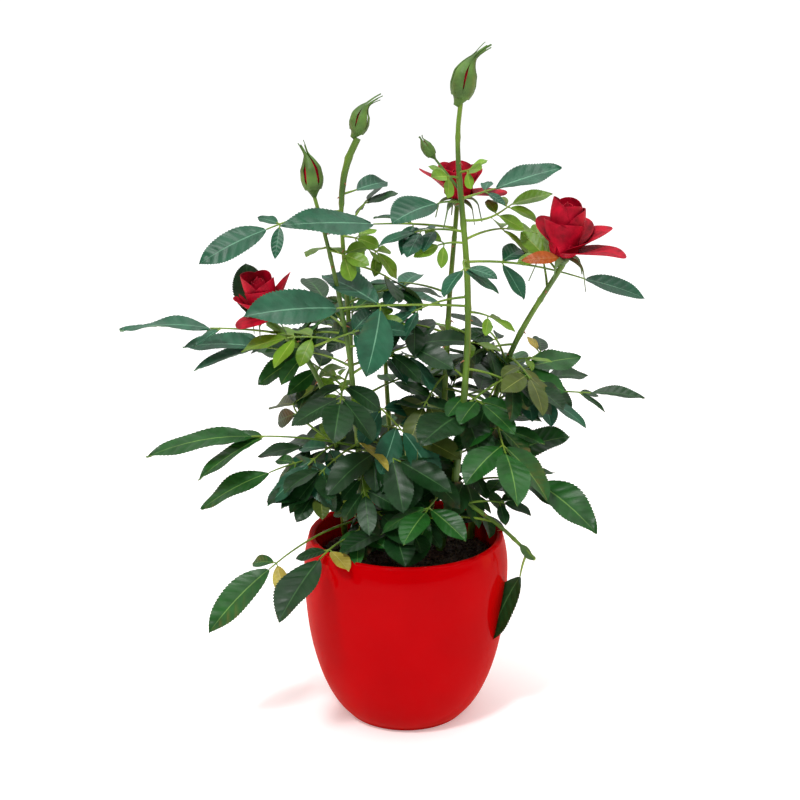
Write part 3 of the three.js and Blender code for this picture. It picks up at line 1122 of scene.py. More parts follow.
    def dress(self) -> None:
        """Builds the joined leaf and stalk meshes."""
        for tint, pool in self.pools.items():
            if not pool.shapes:
                continue
            top, under, rib = LEAF_COLOURS[tint]
            name = f"rose_leaf_{tint.value}"
            skins = [
                LeafSkin(f"{name}_waxy_upper_skin", top).material(),
                LeafSkin(f"{name}_matt_underside", under, self.UNDERSIDE_ROUGHNESS).material(),
                LeafSkin(f"{name}_midrib", rib, self.MIDRIB_ROUGHNESS).material(),
            ]
            for part in pool.shared_out(self.PIECE_LIMIT):
                thing = part.build(skins)
                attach(thing, "root")
                if self.stands_for[tint]:
                    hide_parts(*self.stands_for[tint])
        thing = self.stalks.build([GreenBark("green_leaf_stalk_skin", "7c9834", "54761f").material()])
        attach(thing, "root")


# ---------------------------------------------------------------- canes


@dataclass
class Cane:
    """One green cane: tapered, slightly swollen at each joint, with hooked prickles."""

    name: str
    sides: int = 14
    steps: int = 90
    joint_every: float = 27 * MM
    swell: float = 0.2
    swell_reach: float = 1.6 * MM
    ridge_height: float = 0.03
    ridges: int = 5
    ridge_turns: float = 18
    prickle_every: float = 21 * MM
    prickle_length: float = 3.2 * MM
    prickle_range: tuple[float, float] = (0.6, 1.15)
    prickle_radius_mm: tuple[float, float] = (0.86, 0.05)
    prickle_hook: float = 0.45
    highest_prickle: float = 0.9

    @property
    def node(self) -> str:
        """Returns the name of the CAD node that the cane replaces."""
        return f"cane_{self.name}"

    def spine(self) -> Spine:
        """Returns the cane's centre line and radii, starting at the end nearer the compost."""
        low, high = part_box("compost")
        middle = np.array([(low[0] + high[0]) / 2, (low[1] + high[1]) / 2, high[2]])
        return read_spine(self.node, 5, middle)

    def skin(self, spine: Spine, rng: np.random.Generator) -> Shape:
        """Returns the cane's bark as one closed tube.

        Args:
            spine: the cane's centre line.
            rng: source of where the joints fall.

        Returns:
            The tube.
        """
        share = np.linspace(0, 1, self.steps)
        path = np.array([spine.at(t) for t in share])
        arc = share * spine.length
        phase = rng.uniform(0, self.joint_every)
        joint = np.abs((arc + phase) % self.joint_every - self.joint_every / 2)
        swell = 1 + self.swell * np.exp(-((joint / self.swell_reach) ** 2))
        angles = np.linspace(0, 2 * np.pi, self.sides, endpoint=False)
        winding = self.ridges * angles[None, :] + self.ridge_turns * share[:, None]
        ridge = 1 + self.ridge_height * np.sin(winding)
        return tube(path, (spine.radius(share) * swell)[:, None] * ridge, self.sides)

    def prickles(self, spine: Spine, rng: np.random.Generator, pool: Pool) -> None:
        """Adds the cane's prickles to a pool.

        Args:
            spine: the cane's centre line.
            rng: source of their places.
            pool: the pool they join.
        """
        for k in range(int(spine.length / self.prickle_every)):
            share = (k + rng.uniform(0.2, 0.9)) * self.prickle_every / spine.length
            share = min(share, self.highest_prickle)
            tangent = spine.along(share)
            out = unit(np.cross(tangent, turn(np.array([1.0, 0.2, 0.1]), tangent, k * GOLDEN)))
            radius = float(spine.radius(share))
            size = self.prickle_length * rng.uniform(*self.prickle_range)
            steps = np.linspace(0, 1, 5)[:, None]
            path = spine.at(share) + out * (radius * 0.6 + size * steps)
            path = path - tangent * size * self.prickle_hook * steps**2
            pool.add(tube(path, lerp(*self.prickle_radius_mm, steps[:, 0]) * MM, 6))


class Canes:
    """Every cane of the bush, each its own piece, with all their prickles joined in one."""

    NAMES = ("tall", "middle", "left", "front", "side", "right", "rear", "low")

    def __init__(self, seed: int) -> None:
        """Reads the canes from the frame.

        Args:
            seed: the seed of joints and prickles.
        """
        self.rng = np.random.default_rng(seed)
        self.canes = [Cane(name) for name in self.NAMES]
        self.spines = {cane.name: cane.spine() for cane in self.canes}

    def limbs(self) -> Array:
        """Returns points close together along every cane's centre line."""
        share = np.linspace(0, 1, 160)
        return np.array([spine.at(t) for spine in self.spines.values() for t in share])

    def dress(self) -> None:
        """Builds the canes and prickles."""
        bark = GreenBark("young_green_rose_bark", "5f7f22", "3a5a18").material()
        prickles = Pool("prickles")
        for cane in self.canes:
            spine = self.spines[cane.name]
            pool = Pool(f"bark_{cane.name}")
            pool.add(cane.skin(spine, self.rng))
            thing = pool.build([bark])
            cane.prickles(spine, self.rng, prickles)
            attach(thing, "root")
            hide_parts(cane.node)
        thing = prickles.build([GreenBark("dry_prickle_horn", "9a6a3c", "7a4426").material()])
        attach(thing, "root")


# ---------------------------------------------------------------- growth between the masses


@dataclass
class InnerGrowth:
    """Leaves that fill the crown between the masses: a seeded branching rule on the canes.

    Round each cane the leaves stand at the golden angle, longest a third of the way up it, and
    one is kept only where its blades stay near the foliage masses and off the gaps, which are
    columns from front to back given by x, z and radius in millimetres. They lean out and towards
    the light. Leaves may pass through one another: the rule does not test for it.
    """

    # The low tints are mostly the deep green, which is partly painted shade for the low inner crown.
    LOW_TINTS = (DEEP, DEEP, MID, DEEP, MID, DEEP, OLIVE)
    HIGH_TINTS = (BLUE, DEEP, MID, BLUE, DEEP, BLUE, YOUNG)
    LEAFLET_COUNTS = (3, 5, 5)
    TESTED_SHARES = (0.6, 0.8, 1.0)
    FRONT_HEIGHTS = (130 * MM, 230 * MM)
    REACH_SHARES = (0.1, 0.35, 0.8)
    BLOOM_SAMPLES = 200
    MASS_SAMPLES = 160

    foliage: Foliage
    canes: Canes
    every: float = 5.2 * MM
    reach: tuple[float, float, float] = (46 * MM, 84 * MM, 60 * MM)
    near: float = 16 * MM
    front_most: tuple[float, float] = (-60 * MM, -36 * MM)
    gaps: tuple[tuple[float, float, float], ...] = ((-17, 222, 24), (82, 280, 26), (-104, 200, 30))
    start: float = 0.08
    up_to: float = 0.8
    arch: float = 0.4
    clear_of_blooms: float = 16 * MM
    rise: tuple[float, float] = (-38.0, 12.0)
    rise_at_back: float = 38.0
    lean_out: float = 0.7
    lean_to_light: float = 0.4
    sprout_start: float = 0.42
    sprout_span: float = 0.5
    sprout_every: float = 44 * MM
    sprout_reach: tuple[float, float] = (26 * MM, 42 * MM)
    masses: Array = field(init=False)
    blooms: Array = field(init=False)

    def __post_init__(self) -> None:
        """Samples the foliage masses and the flowers."""
        self.masses = self.cloud(("leaves_", "heart_"), self.MASS_SAMPLES)
        self.blooms = self.cloud(("bloom_", "bud_"), self.BLOOM_SAMPLES)

    def cloud(self, prefixes: tuple[str, ...], count: int) -> Array:
        """Returns sample points of every CAD node whose name starts with one of the prefixes."""
        nodes = [node for node in sorted(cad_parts) if node.startswith(prefixes)]
        return np.concatenate([surface_samples(node, count) for node in nodes])

    def fits(self, path: Array) -> bool:
        """Tells whether a leaf keeps to the foliage, off the flowers and out of the front.

        Args:
            path: points along the leaf.

        Returns:
            True where the leaf may grow.
        """
        for share in self.TESTED_SHARES:
            spot = path[int(share * (len(path) - 1))]
            x, y, z = spot
            if y < np.interp(z, self.FRONT_HEIGHTS, self.front_most):
                return False
            if any(math.hypot(x - at_x * MM, z - at_z * MM) < r * MM for at_x, at_z, r in self.gaps):
                return False
            if np.linalg.norm(self.masses - spot, axis=1).min() > self.near:
                return False
            if np.linalg.norm(self.blooms - spot, axis=1).min() < self.clear_of_blooms:
                return False
        return True

    def tint(self, share: float) -> Tint:
        """Returns a leaf's tint: dark and olive low down, blue and young towards the top; the deep green low
        down is partly painted shade.
        """
        choice = self.HIGH_TINTS if self.foliage.rng.random() < share * 1.3 else self.LOW_TINTS
        return choice[int(self.foliage.rng.integers(len(choice)))]

    def leaf(self, start: Array, bearing: float, reach: float) -> Spine:
        """Returns the spine of one leaf.

        Args:
            start: where it leaves the cane.
            bearing: its compass direction in radians.
            reach: how far its tip is from the cane.

        Returns:
            The spine, arching up and then hanging.
        """
        out = np.array([math.cos(bearing), math.sin(bearing), 0.0])
        degrees = self.foliage.rng.uniform(*self.rise) + self.rise_at_back * max(0.0, out[1])
        rise = math.radians(degrees)
        chord = (out * math.cos(rise) + UP * math.sin(rise)) * reach
        steps = np.linspace(0, 1, SPINE_POINTS)[:, None]
        path = start + chord * steps + UP * reach * self.arch * steps * (1 - steps)
        outward = unit(path[-1] * np.array([1, 1, 0]))
        wish = UP + outward * self.lean_out + np.array([0, -self.lean_to_light, 0])
        return Spine(path, unit(np.cross(wish, chord)))

    def grow(self) -> int:
        """Adds the leaves and returns how many there are."""
        rng = self.foliage.rng
        grown = 0
        for cane in self.canes.canes:
            spine = self.canes.spines[cane.name]
            for k in range(int(spine.length * (self.up_to - self.start) / self.every)):
                share = self.start + k * self.every / spine.length
                bearing = k * GOLDEN + rng.uniform(-0.4, 0.4)
                reach = np.interp(share, self.REACH_SHARES, self.reach) * rng.uniform(0.8, 1.2)
                leaf = self.leaf(spine.at(share), bearing, reach)
                if not self.fits(leaf.path):
                    continue
                plan = SprayPlan(self.tint(share), int(rng.choice(self.LEAFLET_COUNTS)), terminal=0.44)
                self.foliage.compound(leaf, plan, self.foliage.plain)
                grown += 1
        return grown

    def sprout(self) -> int:
        """Adds the small pale new leaves in the upper joints and returns how many there are."""
        rng = self.foliage.rng
        sprouted = 0
        for cane in self.canes.canes[:-1]:
            spine = self.canes.spines[cane.name]
            for k in range(int(spine.length * self.sprout_span / self.sprout_every)):
                share = self.sprout_start + k * self.sprout_every / spine.length
                bearing = (k + 0.5) * GOLDEN * 1.7 + rng.uniform(-0.5, 0.5)
                leaf = self.leaf(spine.at(share), bearing, rng.uniform(*self.sprout_reach))
                clear = np.linalg.norm(self.blooms - leaf.path[-1], axis=1).min()
                if clear < self.clear_of_blooms / 2:
                    continue
                plan = SprayPlan(YOUNG, 3, terminal=0.48, lateral=0.75, first=0.8)
                self.foliage.compound(leaf, plan, self.foliage.plain)
                sprouted += 1
        return sprouted


# ---------------------------------------------------------------- flowers


SEPALS = 5
CREASE_OF_PETALS = 75


def stand(out: Array, across: Array, up: Array, bearing: float) -> Array:
    """Turns a petal or sepal to its place round the flower.

    Args:
        out: how far each point is from the flower's axis, along the bearing.
        across: how far it is to the side.
        up: how far it is along the axis.
        bearing: where the petal stands, in radians.

    Returns:
        The points in the flower's own frame.
    """
    c, s = math.cos(bearing), math.sin(bearing)
    return np.stack([out * c - across * s, out * s + across * c, up], axis=-1)


@dataclass(frozen=True)
class Petal:
    """One petal: where it stands round the flower, how it leans and cups, and its size."""

    bearing: float
    height: float
    width: float
    lean_foot: float
    lean_top: float
    wrap: float
    hug: float
    curl: float
    point: float
    ruffle: float
    foot: float = 1.0 * MM

    ROWS = 14
    COLUMNS = 17
    # Each pair is a depth and a power: how the top edge falls off to the sides and at the corners.
    SIDE_FALL = (0.26, 2.2)
    CORNER_FALL = (0.16, 7)
    POINT_SPREAD = 0.42
    FOOT_WIDENS = (2.1, 0.7)
    LIP_FROM = 0.8
    LIP_ROLL = 6

    def grid(self) -> Array:
        """Returns the petal's middle surface in the flower's own frame, foot at the origin."""
        u = np.linspace(0.02, 1, self.ROWS)[:, None]
        v = np.linspace(-1, 1, self.COLUMNS)[None, :]
        side = np.abs(v)
        fall = self.SIDE_FALL[0] * side ** self.SIDE_FALL[1]
        corner = self.CORNER_FALL[0] * side ** self.CORNER_FALL[1]
        reach = 1 - fall - corner + self.point * np.exp(-((v / self.POINT_SPREAD) ** 2))
        s = u * reach
        lean = self.lean_foot + (self.lean_top - self.lean_foot) * s
        step = np.diff(np.concatenate([np.zeros((1, self.COLUMNS)), s]), axis=0) * self.height
        out = self.foot + np.cumsum(np.sin(lean) * step, axis=0)
        up = np.cumsum(np.cos(lean) * step, axis=0)
        foot_power, side_power = self.FOOT_WIDENS
        wide = self.width / 2 * (1 - (1 - u) ** foot_power) ** side_power
        edge = side**3 * np.clip(s * 1.3 - 0.3, 0, 1)
        roll = self.curl * (edge + self.LIP_ROLL * np.clip(s - self.LIP_FROM, 0, 1) ** 2)
        ripple = self.ruffle * np.sin(4 * v + 7 * self.bearing) * s**2
        out = out + (roll + ripple) * np.cos(lean)
        up = up - (roll + ripple) * np.sin(lean)
        bow = np.maximum(self.wrap, out * self.hug)
        angle = v * wide / bow
        radial = out - bow + bow * np.cos(angle)
        return stand(radial, bow * np.sin(angle), up, self.bearing)


@dataclass(frozen=True)
class Guard:
    """One unfolded outer petal: bearing and leans in degrees, height and width in millimetres."""

    bearing: float
    lean_foot: float
    lean_top: float
    height: float
    width: float
    point: float = 0.03
    curl: float = 0.9


@dataclass
class Bloom:
    """An open rose: a heart of wrapped petals inside its unfolded guards, over sepals and a hip."""

    name: str
    seed: int
    aim: Array
    heart: int
    heart_height: float
    heart_width: float
    guards: tuple[Guard, ...]
    sepal_length: float = 25 * MM
    sepal_width: float = 5.4 * MM
    thickness: float = 0.35 * MM
    neck_rise: float = 4.5 * MM

    # The hip's radii in millimetres, from its foot to its neck.
    HIP_RADII = np.array([1.7, 2.0, 2.6, 3.2, 3.7, 3.8, 3.5, 2.8, 1.6])

    @property
    def node(self) -> str:
        """Returns the name of the CAD node that the petals replace."""
        return f"bloom_{self.name}"

    def axes(self) -> Array:
        """Returns the flower's own axes as the rows of a matrix, its aim last."""
        aim = unit(self.aim)
        side = unit(np.cross([0.0, 1.0, 0.0], aim))
        return np.stack([side, np.cross(aim, side), aim])

    def wrapped(self, k: int, rng: np.random.Generator) -> Petal:
        """Returns one petal of the heart, wrapped round the ones before it.

        Args:
            k: its number, counted from the middle.
            rng: source of its small differences.

        Returns:
            The petal.
        """
        share = k / max(self.heart - 1, 1)
        return Petal(
            bearing=k * GOLDEN + rng.uniform(-0.1, 0.1),
            height=self.heart_height * lerp(1.0, 0.93, share) * rng.uniform(0.97, 1.03),
            width=self.heart_width * lerp(0.55, 1.15, share),
            lean_foot=math.radians(lerp(14, 32, share)),
            lean_top=math.radians(lerp(-16, -14, share) + rng.uniform(-3, 3)),
            wrap=lerp(1.8, 5.0, share) * MM,
            hug=1.0,
            curl=lerp(0.0, 0.7, share) * MM,
            point=0.0,
            ruffle=0.2 * MM,
        )

    def unfolded(self, guard: Guard, rng: np.random.Generator) -> Petal:
        """Returns a guard petal.

        Args:
            guard: how it stands.
            rng: source of its small differences.

        Returns:
            The petal.
        """
        return Petal(
            bearing=math.radians(guard.bearing),
            height=guard.height * MM,
            width=guard.width * MM,
            lean_foot=math.radians(guard.lean_foot),
            lean_top=math.radians(guard.lean_top),
            wrap=9 * MM,
            hug=0.85,
            curl=guard.curl * MM,
            point=guard.point,
            ruffle=rng.uniform(0.2, 0.6) * MM,
            foot=2.0 * MM,
        )

    def place(self, shape: Shape, foot: Array) -> Shape:
        """Returns a shape of the flower's own frame, put on its foot and turned to its aim."""
        return Shape(foot + shape.points @ self.axes(), shape.corners, shape.counts, shape.slots)

    def dress(
        self, stalk_end: Array, petal_skin: list[bpy.types.Material], green: bpy.types.Material
    ) -> None:
        """Builds the flower.

        Args:
            stalk_end: where its cane ends.
            petal_skin: materials of the petals' faces and backs.
            green: material of the sepals and hip.
        """
        rng = np.random.default_rng(self.seed)
        neck = stalk_end + unit(self.aim) * self.neck_rise
        petals = [self.wrapped(k, rng) for k in range(self.heart)]
        petals += [self.unfolded(guard, rng) for guard in self.guards]
        pool = Pool(f"petals_{self.name}")
        for petal in petals:
            pool.add(self.place(shell(petal.grid(), self.thickness, (0, 1)), neck))
        joined = pool.build(petal_skin, crease=CREASE_OF_PETALS)
        calyx = self.calyx(stalk_end, neck, rng).build([green], crease=CREASE_OF_PETALS)
        for thing, slot in ((joined, "petal"), (calyx, "bud")):
            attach(thing, "root")
        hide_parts(self.node)

    def calyx(self, foot: Array, neck: Array, rng: np.random.Generator) -> Pool:
        """Makes the hip and the five sepals that hang back under the petals.

        Args:
            foot: where the cane ends.
            neck: where the petals start.
            rng: source of the sepals' differences.

        Returns:
            The pool that holds them.
        """
        pool = Pool(f"calyx_{self.name}")
        steps = np.linspace(0, 1, len(self.HIP_RADII))
        path = foot + np.outer(steps * 1.3 - 0.15, neck - foot)
        pool.add(tube(path, self.HIP_RADII * MM, 14))
        for k in range(SEPALS):
            bearing = 0.5 + k * 2 * math.pi / SEPALS
            lean = (70, rng.uniform(158, 176))
            length = self.sepal_length * rng.uniform(0.8, 1.15)
            pool.add(self.place(sepal(bearing, length, self.sepal_width, lean, rng), neck))
        return pool


def sepal(
    bearing: float, length: float, width: float, lean: tuple[float, float], rng: np.random.Generator
) -> Shape:
    """Makes one sepal: a narrow lance that thins towards its tip and twists.

    Args:
        bearing: where it stands round the flower, in radians.
        length: foot to tip.
        width: its greatest width.
        lean: its lean from the flower's aim at foot and tip, in degrees.
        rng: source of its twist.

    Returns:
        The sepal in the flower's own frame.
    """
    rows, columns = 14, 5
    u = np.linspace(0, 1, rows)[:, None]
    v = np.linspace(-1, 1, columns)[None, :]
    angle = np.radians(lean[0] + (lean[1] - lean[0]) * np.clip(u * 1.6, 0, 1))
    step = length / (rows - 1)
    out = 2.0 * MM + np.cumsum(np.sin(angle) * step, axis=0)
    up = np.cumsum(np.cos(angle) * step, axis=0)
    half = width / 2 * np.maximum(np.sin(np.pi * np.clip(u * 1.3 + 0.22, 0, 1)), 0.24) * (1 - 0.55 * u)
    twist = rng.uniform(-1.2, 1.2) * u**2
    across = v * half * np.cos(twist)
    lift = v * half * np.sin(twist) + half * 0.5 * v**2
    out = out + lift * np.cos(angle)
    up = up - lift * np.sin(angle)
    return shell(stand(out, across, up, bearing), 0.5 * MM)


@dataclass
class Bud:
    """A closed bud: a hip, five sepals clasping the red petals, and their long tips in a beak."""

    name: str
    seed: int
    parted: float = 0.06
    splay: float = 1.0
    stalk_share: float = 0.0

    SLICES = 8
    STALK_RADII = (0.95, 0.75)
    # Shares of the bud's height, then radii there as shares of its own.
    BODY = ([0, 0.1, 0.2, 0.32, 0.5, 0.6, 0.7], [0.3, 0.6, 0.9, 1, 0.86, 0.55, 0.15])
    BODY_SHARE = 0.94
    HIP = ([-0.04, 0.0, 0.06, 0.13, 0.18, 0.22], [0.24, 0.34, 0.56, 0.86, 0.98, 0.9])
    HUG = ([0.1, 0.2, 0.3, 0.5, 0.62, 0.76, 1.0], [0.78, 1.0, 1.1, 1.0, 0.66, 0.24, 0.1])
    SPREAD_SHARES = (0.1, 0.25, 0.5, 0.7, 1.0)
    BEAK_FROM = 0.82
    BEAK_RANGE = (0.3, 2.2)

    @property
    def node(self) -> str:
        """Returns the name of the CAD node that the bud replaces."""
        return f"bud_{self.name}"

    def read(self) -> tuple[Callable[[Array], Array], float]:
        """Reads the bud's CAD node.

        Returns:
            The bent centre line, as a function of shares of the flower's height above any bare
            stalk, and the greatest radius.
        """
        points = surface_samples(self.node, SPINE_SAMPLES)
        share = (points[:, 2] - points[:, 2].min()) / np.ptp(points[:, 2])
        parts = sliced(points, share, self.SLICES)
        centres = np.array([part.mean(axis=0) for part in parts])
        whole = fitted(centres, 3)
        radius = max(
            float(np.linalg.norm(part - centre, axis=1).mean()) for part, centre in zip(parts, centres)
        )
        return lambda t: whole(self.stalk_share + (1 - self.stalk_share) * np.asarray(t)), radius

    def dress(self, petal: bpy.types.Material, green: bpy.types.Material) -> None:
        """Builds the bud along its CAD node's own bent line.

        Args:
            petal: material of what shows of the petals.
            green: material of hip and sepals.
        """
        rng = np.random.default_rng(self.seed)
        line, radius = self.read()
        pool = Pool(f"bud_flower_{self.name}")
        steps = np.linspace(0.02, 0.7, 16)
        pool.add(tube(line(steps), radius * self.BODY_SHARE * np.interp(steps, *self.BODY), 20, slot=1))
        hip = np.linspace(-0.04, 0.22, 10)
        pool.add(tube(line(hip), radius * np.interp(hip, *self.HIP), 18))
        if self.stalk_share:
            below = np.linspace(-self.stalk_share / (1 - self.stalk_share), 0.02, 12)
            pool.add(tube(line(below), np.linspace(*self.STALK_RADII, len(below)) * MM, 8))
        for k in range(SEPALS):
            pool.add(self.clasp(line, k, radius, rng))
        thing = pool.build([green, petal], crease=CREASE_OF_PETALS)
        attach(thing, "root")
        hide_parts(self.node)

    def clasp(
        self, line: Callable[[Array], Array], k: int, radius: float, rng: np.random.Generator
    ) -> Shape:
        """Makes one sepal that clasps the bud and runs out into the beak.

        Args:
            line: the bud's centre line.
            k: which of the five it is.
            radius: the bud's greatest radius.
            rng: source of its differences.

        Returns:
            The sepal.
        """
        rows, columns = 26, 7
        t = np.linspace(0.1, 1.0 - 0.1 * rng.random(), rows)
        centre = line(t)
        tangent = unit(np.gradient(centre, axis=0))
        side = unit(np.cross(tangent, [0.0, 1.0, 0.0]))
        front = np.cross(side, tangent)
        hug = np.interp(t, *self.HUG)
        gap = self.parted
        spread = np.interp(t, self.SPREAD_SHARES, [0.72, 0.64 - gap, 0.58 - gap, 0.55, 0.14])
        v = np.linspace(-1, 1, columns)
        turned = 0.8 * np.clip(t - 0.5, 0, 1)[:, None] * (k % 2 - 0.5)
        bearing = 2 * np.pi * k / SEPALS + 0.3 * self.seed + turned
        angle = bearing + v[None, :] * spread[:, None]
        reach = radius * hug[:, None] * (1 + 0.05 * (1 - v[None, :] ** 2)) + 0.2 * MM
        beak = np.clip(t - self.BEAK_FROM, 0, 1)[:, None] * radius
        reach = reach + beak * rng.uniform(*self.BEAK_RANGE) * self.splay
        grid = (
            centre[:, None, :]
            + side[:, None, :] * (reach * np.cos(angle))[..., None]
            + front[:, None, :] * (reach * np.sin(angle))[..., None]
        )
        return shell(grid, 0.35 * MM)


# ---------------------------------------------------------------- pot and compost


@dataclass
class GlazedPot:
    """The round cover pot: its side curves in to a small foot, its lip is rounded, all of it glazed."""

    foot_radius: float = 38 * MM
    rim_radius: float = 63.5 * MM
    belly_share: float = 0.816
    flare: float = 2.25
    shoulder: float = 0.655
    wall: float = 4.5 * MM
    floor: float = 7 * MM
    lip: float = 2.25 * MM
    foot_round: float = 1.6 * MM
    facets: int = 144
    steps: int = 56
    lip_steps: int = 13
    foot_steps: int = 6
    crowding: float = 1.35

    def side(self, z: Array, height: float, belly: float) -> Array:
        """Returns the outer radius at each height.

        Args:
            z: heights above the ground.
            height: the pot's height.
            belly: its greatest radius.

        Returns:
            The radii.
        """
        middle = height * self.belly_share
        below = self.foot_radius + (belly - self.foot_radius) * (
            1 - (1 - np.clip(z / middle, 0, 1)) ** self.flare
        ) ** self.shoulder
        above = belly - (belly - self.rim_radius) * ((z - middle) / (height - middle)) ** 2
        return np.where(z <= middle, below, above)

    def profile(self, height: float, belly: float) -> Array:
        """Works out the pot's section.

        Args:
            height: the pot's height.
            belly: its greatest radius.

        Returns:
            Radius and height pairs, from the foot up the outside, over the lip and down to the floor.
        """
        share = np.linspace(0, 1, self.steps) ** self.crowding
        top = height - self.lip
        out_z = self.foot_round + (top - self.foot_round) * share
        out_r = self.side(out_z, height, belly)
        arc = np.linspace(0, np.pi, self.lip_steps)[1:-1]
        lip_r = out_r[-1] - self.lip + self.lip * np.cos(arc)
        lip_z = top + self.lip * np.sin(arc)
        in_z = (self.floor + (top - self.floor) * share)[::-1]
        in_r = self.side(in_z, height, belly) - self.wall
        corner = np.linspace(np.pi / 2, 0, self.foot_steps)[:-1]
        foot_r = out_r[0] - self.foot_round + self.foot_round * np.cos(corner)
        foot_z = self.foot_round - self.foot_round * np.sin(corner)
        r = np.concatenate([foot_r, out_r, lip_r, in_r])
        z = np.concatenate([foot_z, out_z, lip_z, in_z])
        return np.stack([r, z], axis=1)

    def dress(self) -> None:
        """Builds the pot in place of its faceted CAD node."""
        low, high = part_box("pot")
        profile = self.profile(high[2] - low[2], (high[0] - low[0]) / 2)
        around = np.linspace(0, 2 * np.pi, self.facets, endpoint=False)
        rings = np.stack(
            [
                profile[:, 0, None] * np.cos(around),
                profile[:, 0, None] * np.sin(around),
                np.repeat(profile[:, 1, None], self.facets, axis=1) + low[2],
            ],
            axis=-1,
        )
        pool = Pool("glazed_pot")
        pool.add(capped(rings))
        thing = pool.build([RedGlaze().material()], crease=45)
        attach(thing, "root")
        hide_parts("pot")


@dataclass
class CompostBed:
    """The compost's uneven top with loose crumbs and bark shreds on it."""

    seed: int
    rings: int = 40
    sectors: int = 100
    crumbs: int = 640
    shreds: int = 70
    lumps: tuple[float, ...] = (18 * MM, 9 * MM, 5 * MM, 3 * MM)
    waves: int = 5
    lump_height: float = 0.018
    dome: float = 3 * MM
    edge_gap: float = 2.2 * MM
    sunk: float = 0.8 * MM
    depth: float = 12 * MM

    # A crumb's or shred's radii along it, as shares of its thickness.
    BULGE = np.array([0.35, 0.9, 1, 0.85, 0.3])

    def height(self, x: Array, y: Array) -> Array:
        """Returns the lumps of the surface at each place, in metres above its mean."""
        rough = np.zeros_like(x)
        rng = np.random.default_rng(self.seed)
        for size in self.lumps:
            for _ in range(self.waves):
                angle = rng.uniform(0, 2 * np.pi)
                phase = rng.uniform(0, 2 * np.pi)
                wave = (x * math.cos(angle) + y * math.sin(angle)) * 2 * np.pi / size
                rough = rough + np.sin(wave + phase) * size * self.lump_height
        return rough

    def crumb(self, edge: float, top: float, shred: bool, rng: np.random.Generator) -> Shape:
        """Makes one loose crumb or bark shred lying on the surface.

        Args:
            edge: the surface's radius.
            top: the height of its middle.
            shred: whether it is a long thin shred.
            rng: source of its place and size.

        Returns:
            The crumb.
        """
        place = edge * 0.97 * math.sqrt(rng.random())
        turned = rng.uniform(0, 2 * np.pi)
        spot = np.array([place * math.cos(turned), place * math.sin(turned)])
        ground = top - self.dome * (place / edge) ** 2 + self.height(spot[:1], spot[1:])[0]
        span = rng.uniform(2.5, 6) * MM if shred else rng.uniform(0.5, 1.6) * MM
        thick = rng.uniform(0.3, 0.7) * MM if shred else span * rng.uniform(0.6, 0.95)
        way = unit(np.array([rng.normal(), rng.normal(), rng.normal() * 0.3]))
        path = np.array([*spot, ground]) + np.outer(np.linspace(-1, 1, 5), way * span)
        bulge = self.BULGE[:, None] * rng.uniform(0.75, 1.25, (5, 6)) * thick
        return tube(path, bulge, 6)

    def dress(self) -> None:
        """Builds the compost in place of its CAD node."""
        rng = np.random.default_rng(self.seed)
        low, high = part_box("compost")
        edge = (high[0] - low[0]) / 2 - self.edge_gap
        top = high[2] - self.sunk
        radius = edge * np.sqrt(np.linspace(0.0004, 1, self.rings))[:, None]
        angle = np.linspace(0, 2 * np.pi, self.sectors, endpoint=False)[None, :]
        x, y = radius * np.cos(angle), radius * np.sin(angle)
        z = top - self.dome * (radius / edge) ** 2 + self.height(x, y)
        grid = np.stack([x, y, z * np.ones_like(x)], axis=-1)
        skirt = grid[-1:] * np.array([1, 1, 0]) + np.array([0, 0, top - self.depth])
        pool = Pool("compost_bed")
        pool.add(capped(np.concatenate([grid, skirt]), flip=True))
        for k in range(self.crumbs + self.shreds):
            pool.add(self.crumb(edge, top, k >= self.crumbs, rng))
        thing = pool.build([PottingCompost().material()], crease=50)
        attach(thing, "root")
        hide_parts("compost")


# ---------------------------------------------------------------- studio


@dataclass(frozen=True)
class Softbox:
    """One soft studio light aimed at the middle of the plant."""

    name: str
    place: Triple
    size: tuple[float, float]
    watts: float
    colour: str = "ffffff"

    def set_up(self, target: Vector) -> None:
        """Adds the light.

        Args:
            target: where it points.
        """
        light = bpy.data.lights.new(self.name, "AREA")
        light.shape = "RECTANGLE"
        light.size, light.size_y = self.size
        light.energy = self.watts
        light.color = linear(self.colour)[:3]
        thing = bpy.data.objects.new(self.name, light)
        thing.location = self.place
        thing.rotation_euler = (target - Vector(self.place)).to_track_quat("-Z", "Y").to_euler()
        bpy.context.scene.collection.objects.link(thing)


SOFTBOXES = (
    Softbox("key", (-0.45, -0.9, 1.5), (0.2, 0.2), 14.0),
    Softbox("fill", (1.2, -0.9, 0.9), (0.7, 0.7), 2.0),
    Softbox("top", (0.1, 0.3, 1.7), (0.8, 0.8), 9.0),
    Softbox("warm_left", (-0.95, 0.15, 0.2), (0.25, 0.6), 2.6, "ff8038"),
    Softbox("warm_right", (0.95, 0.15, 0.2), (0.25, 0.6), 2.6, "ff8038"),
)


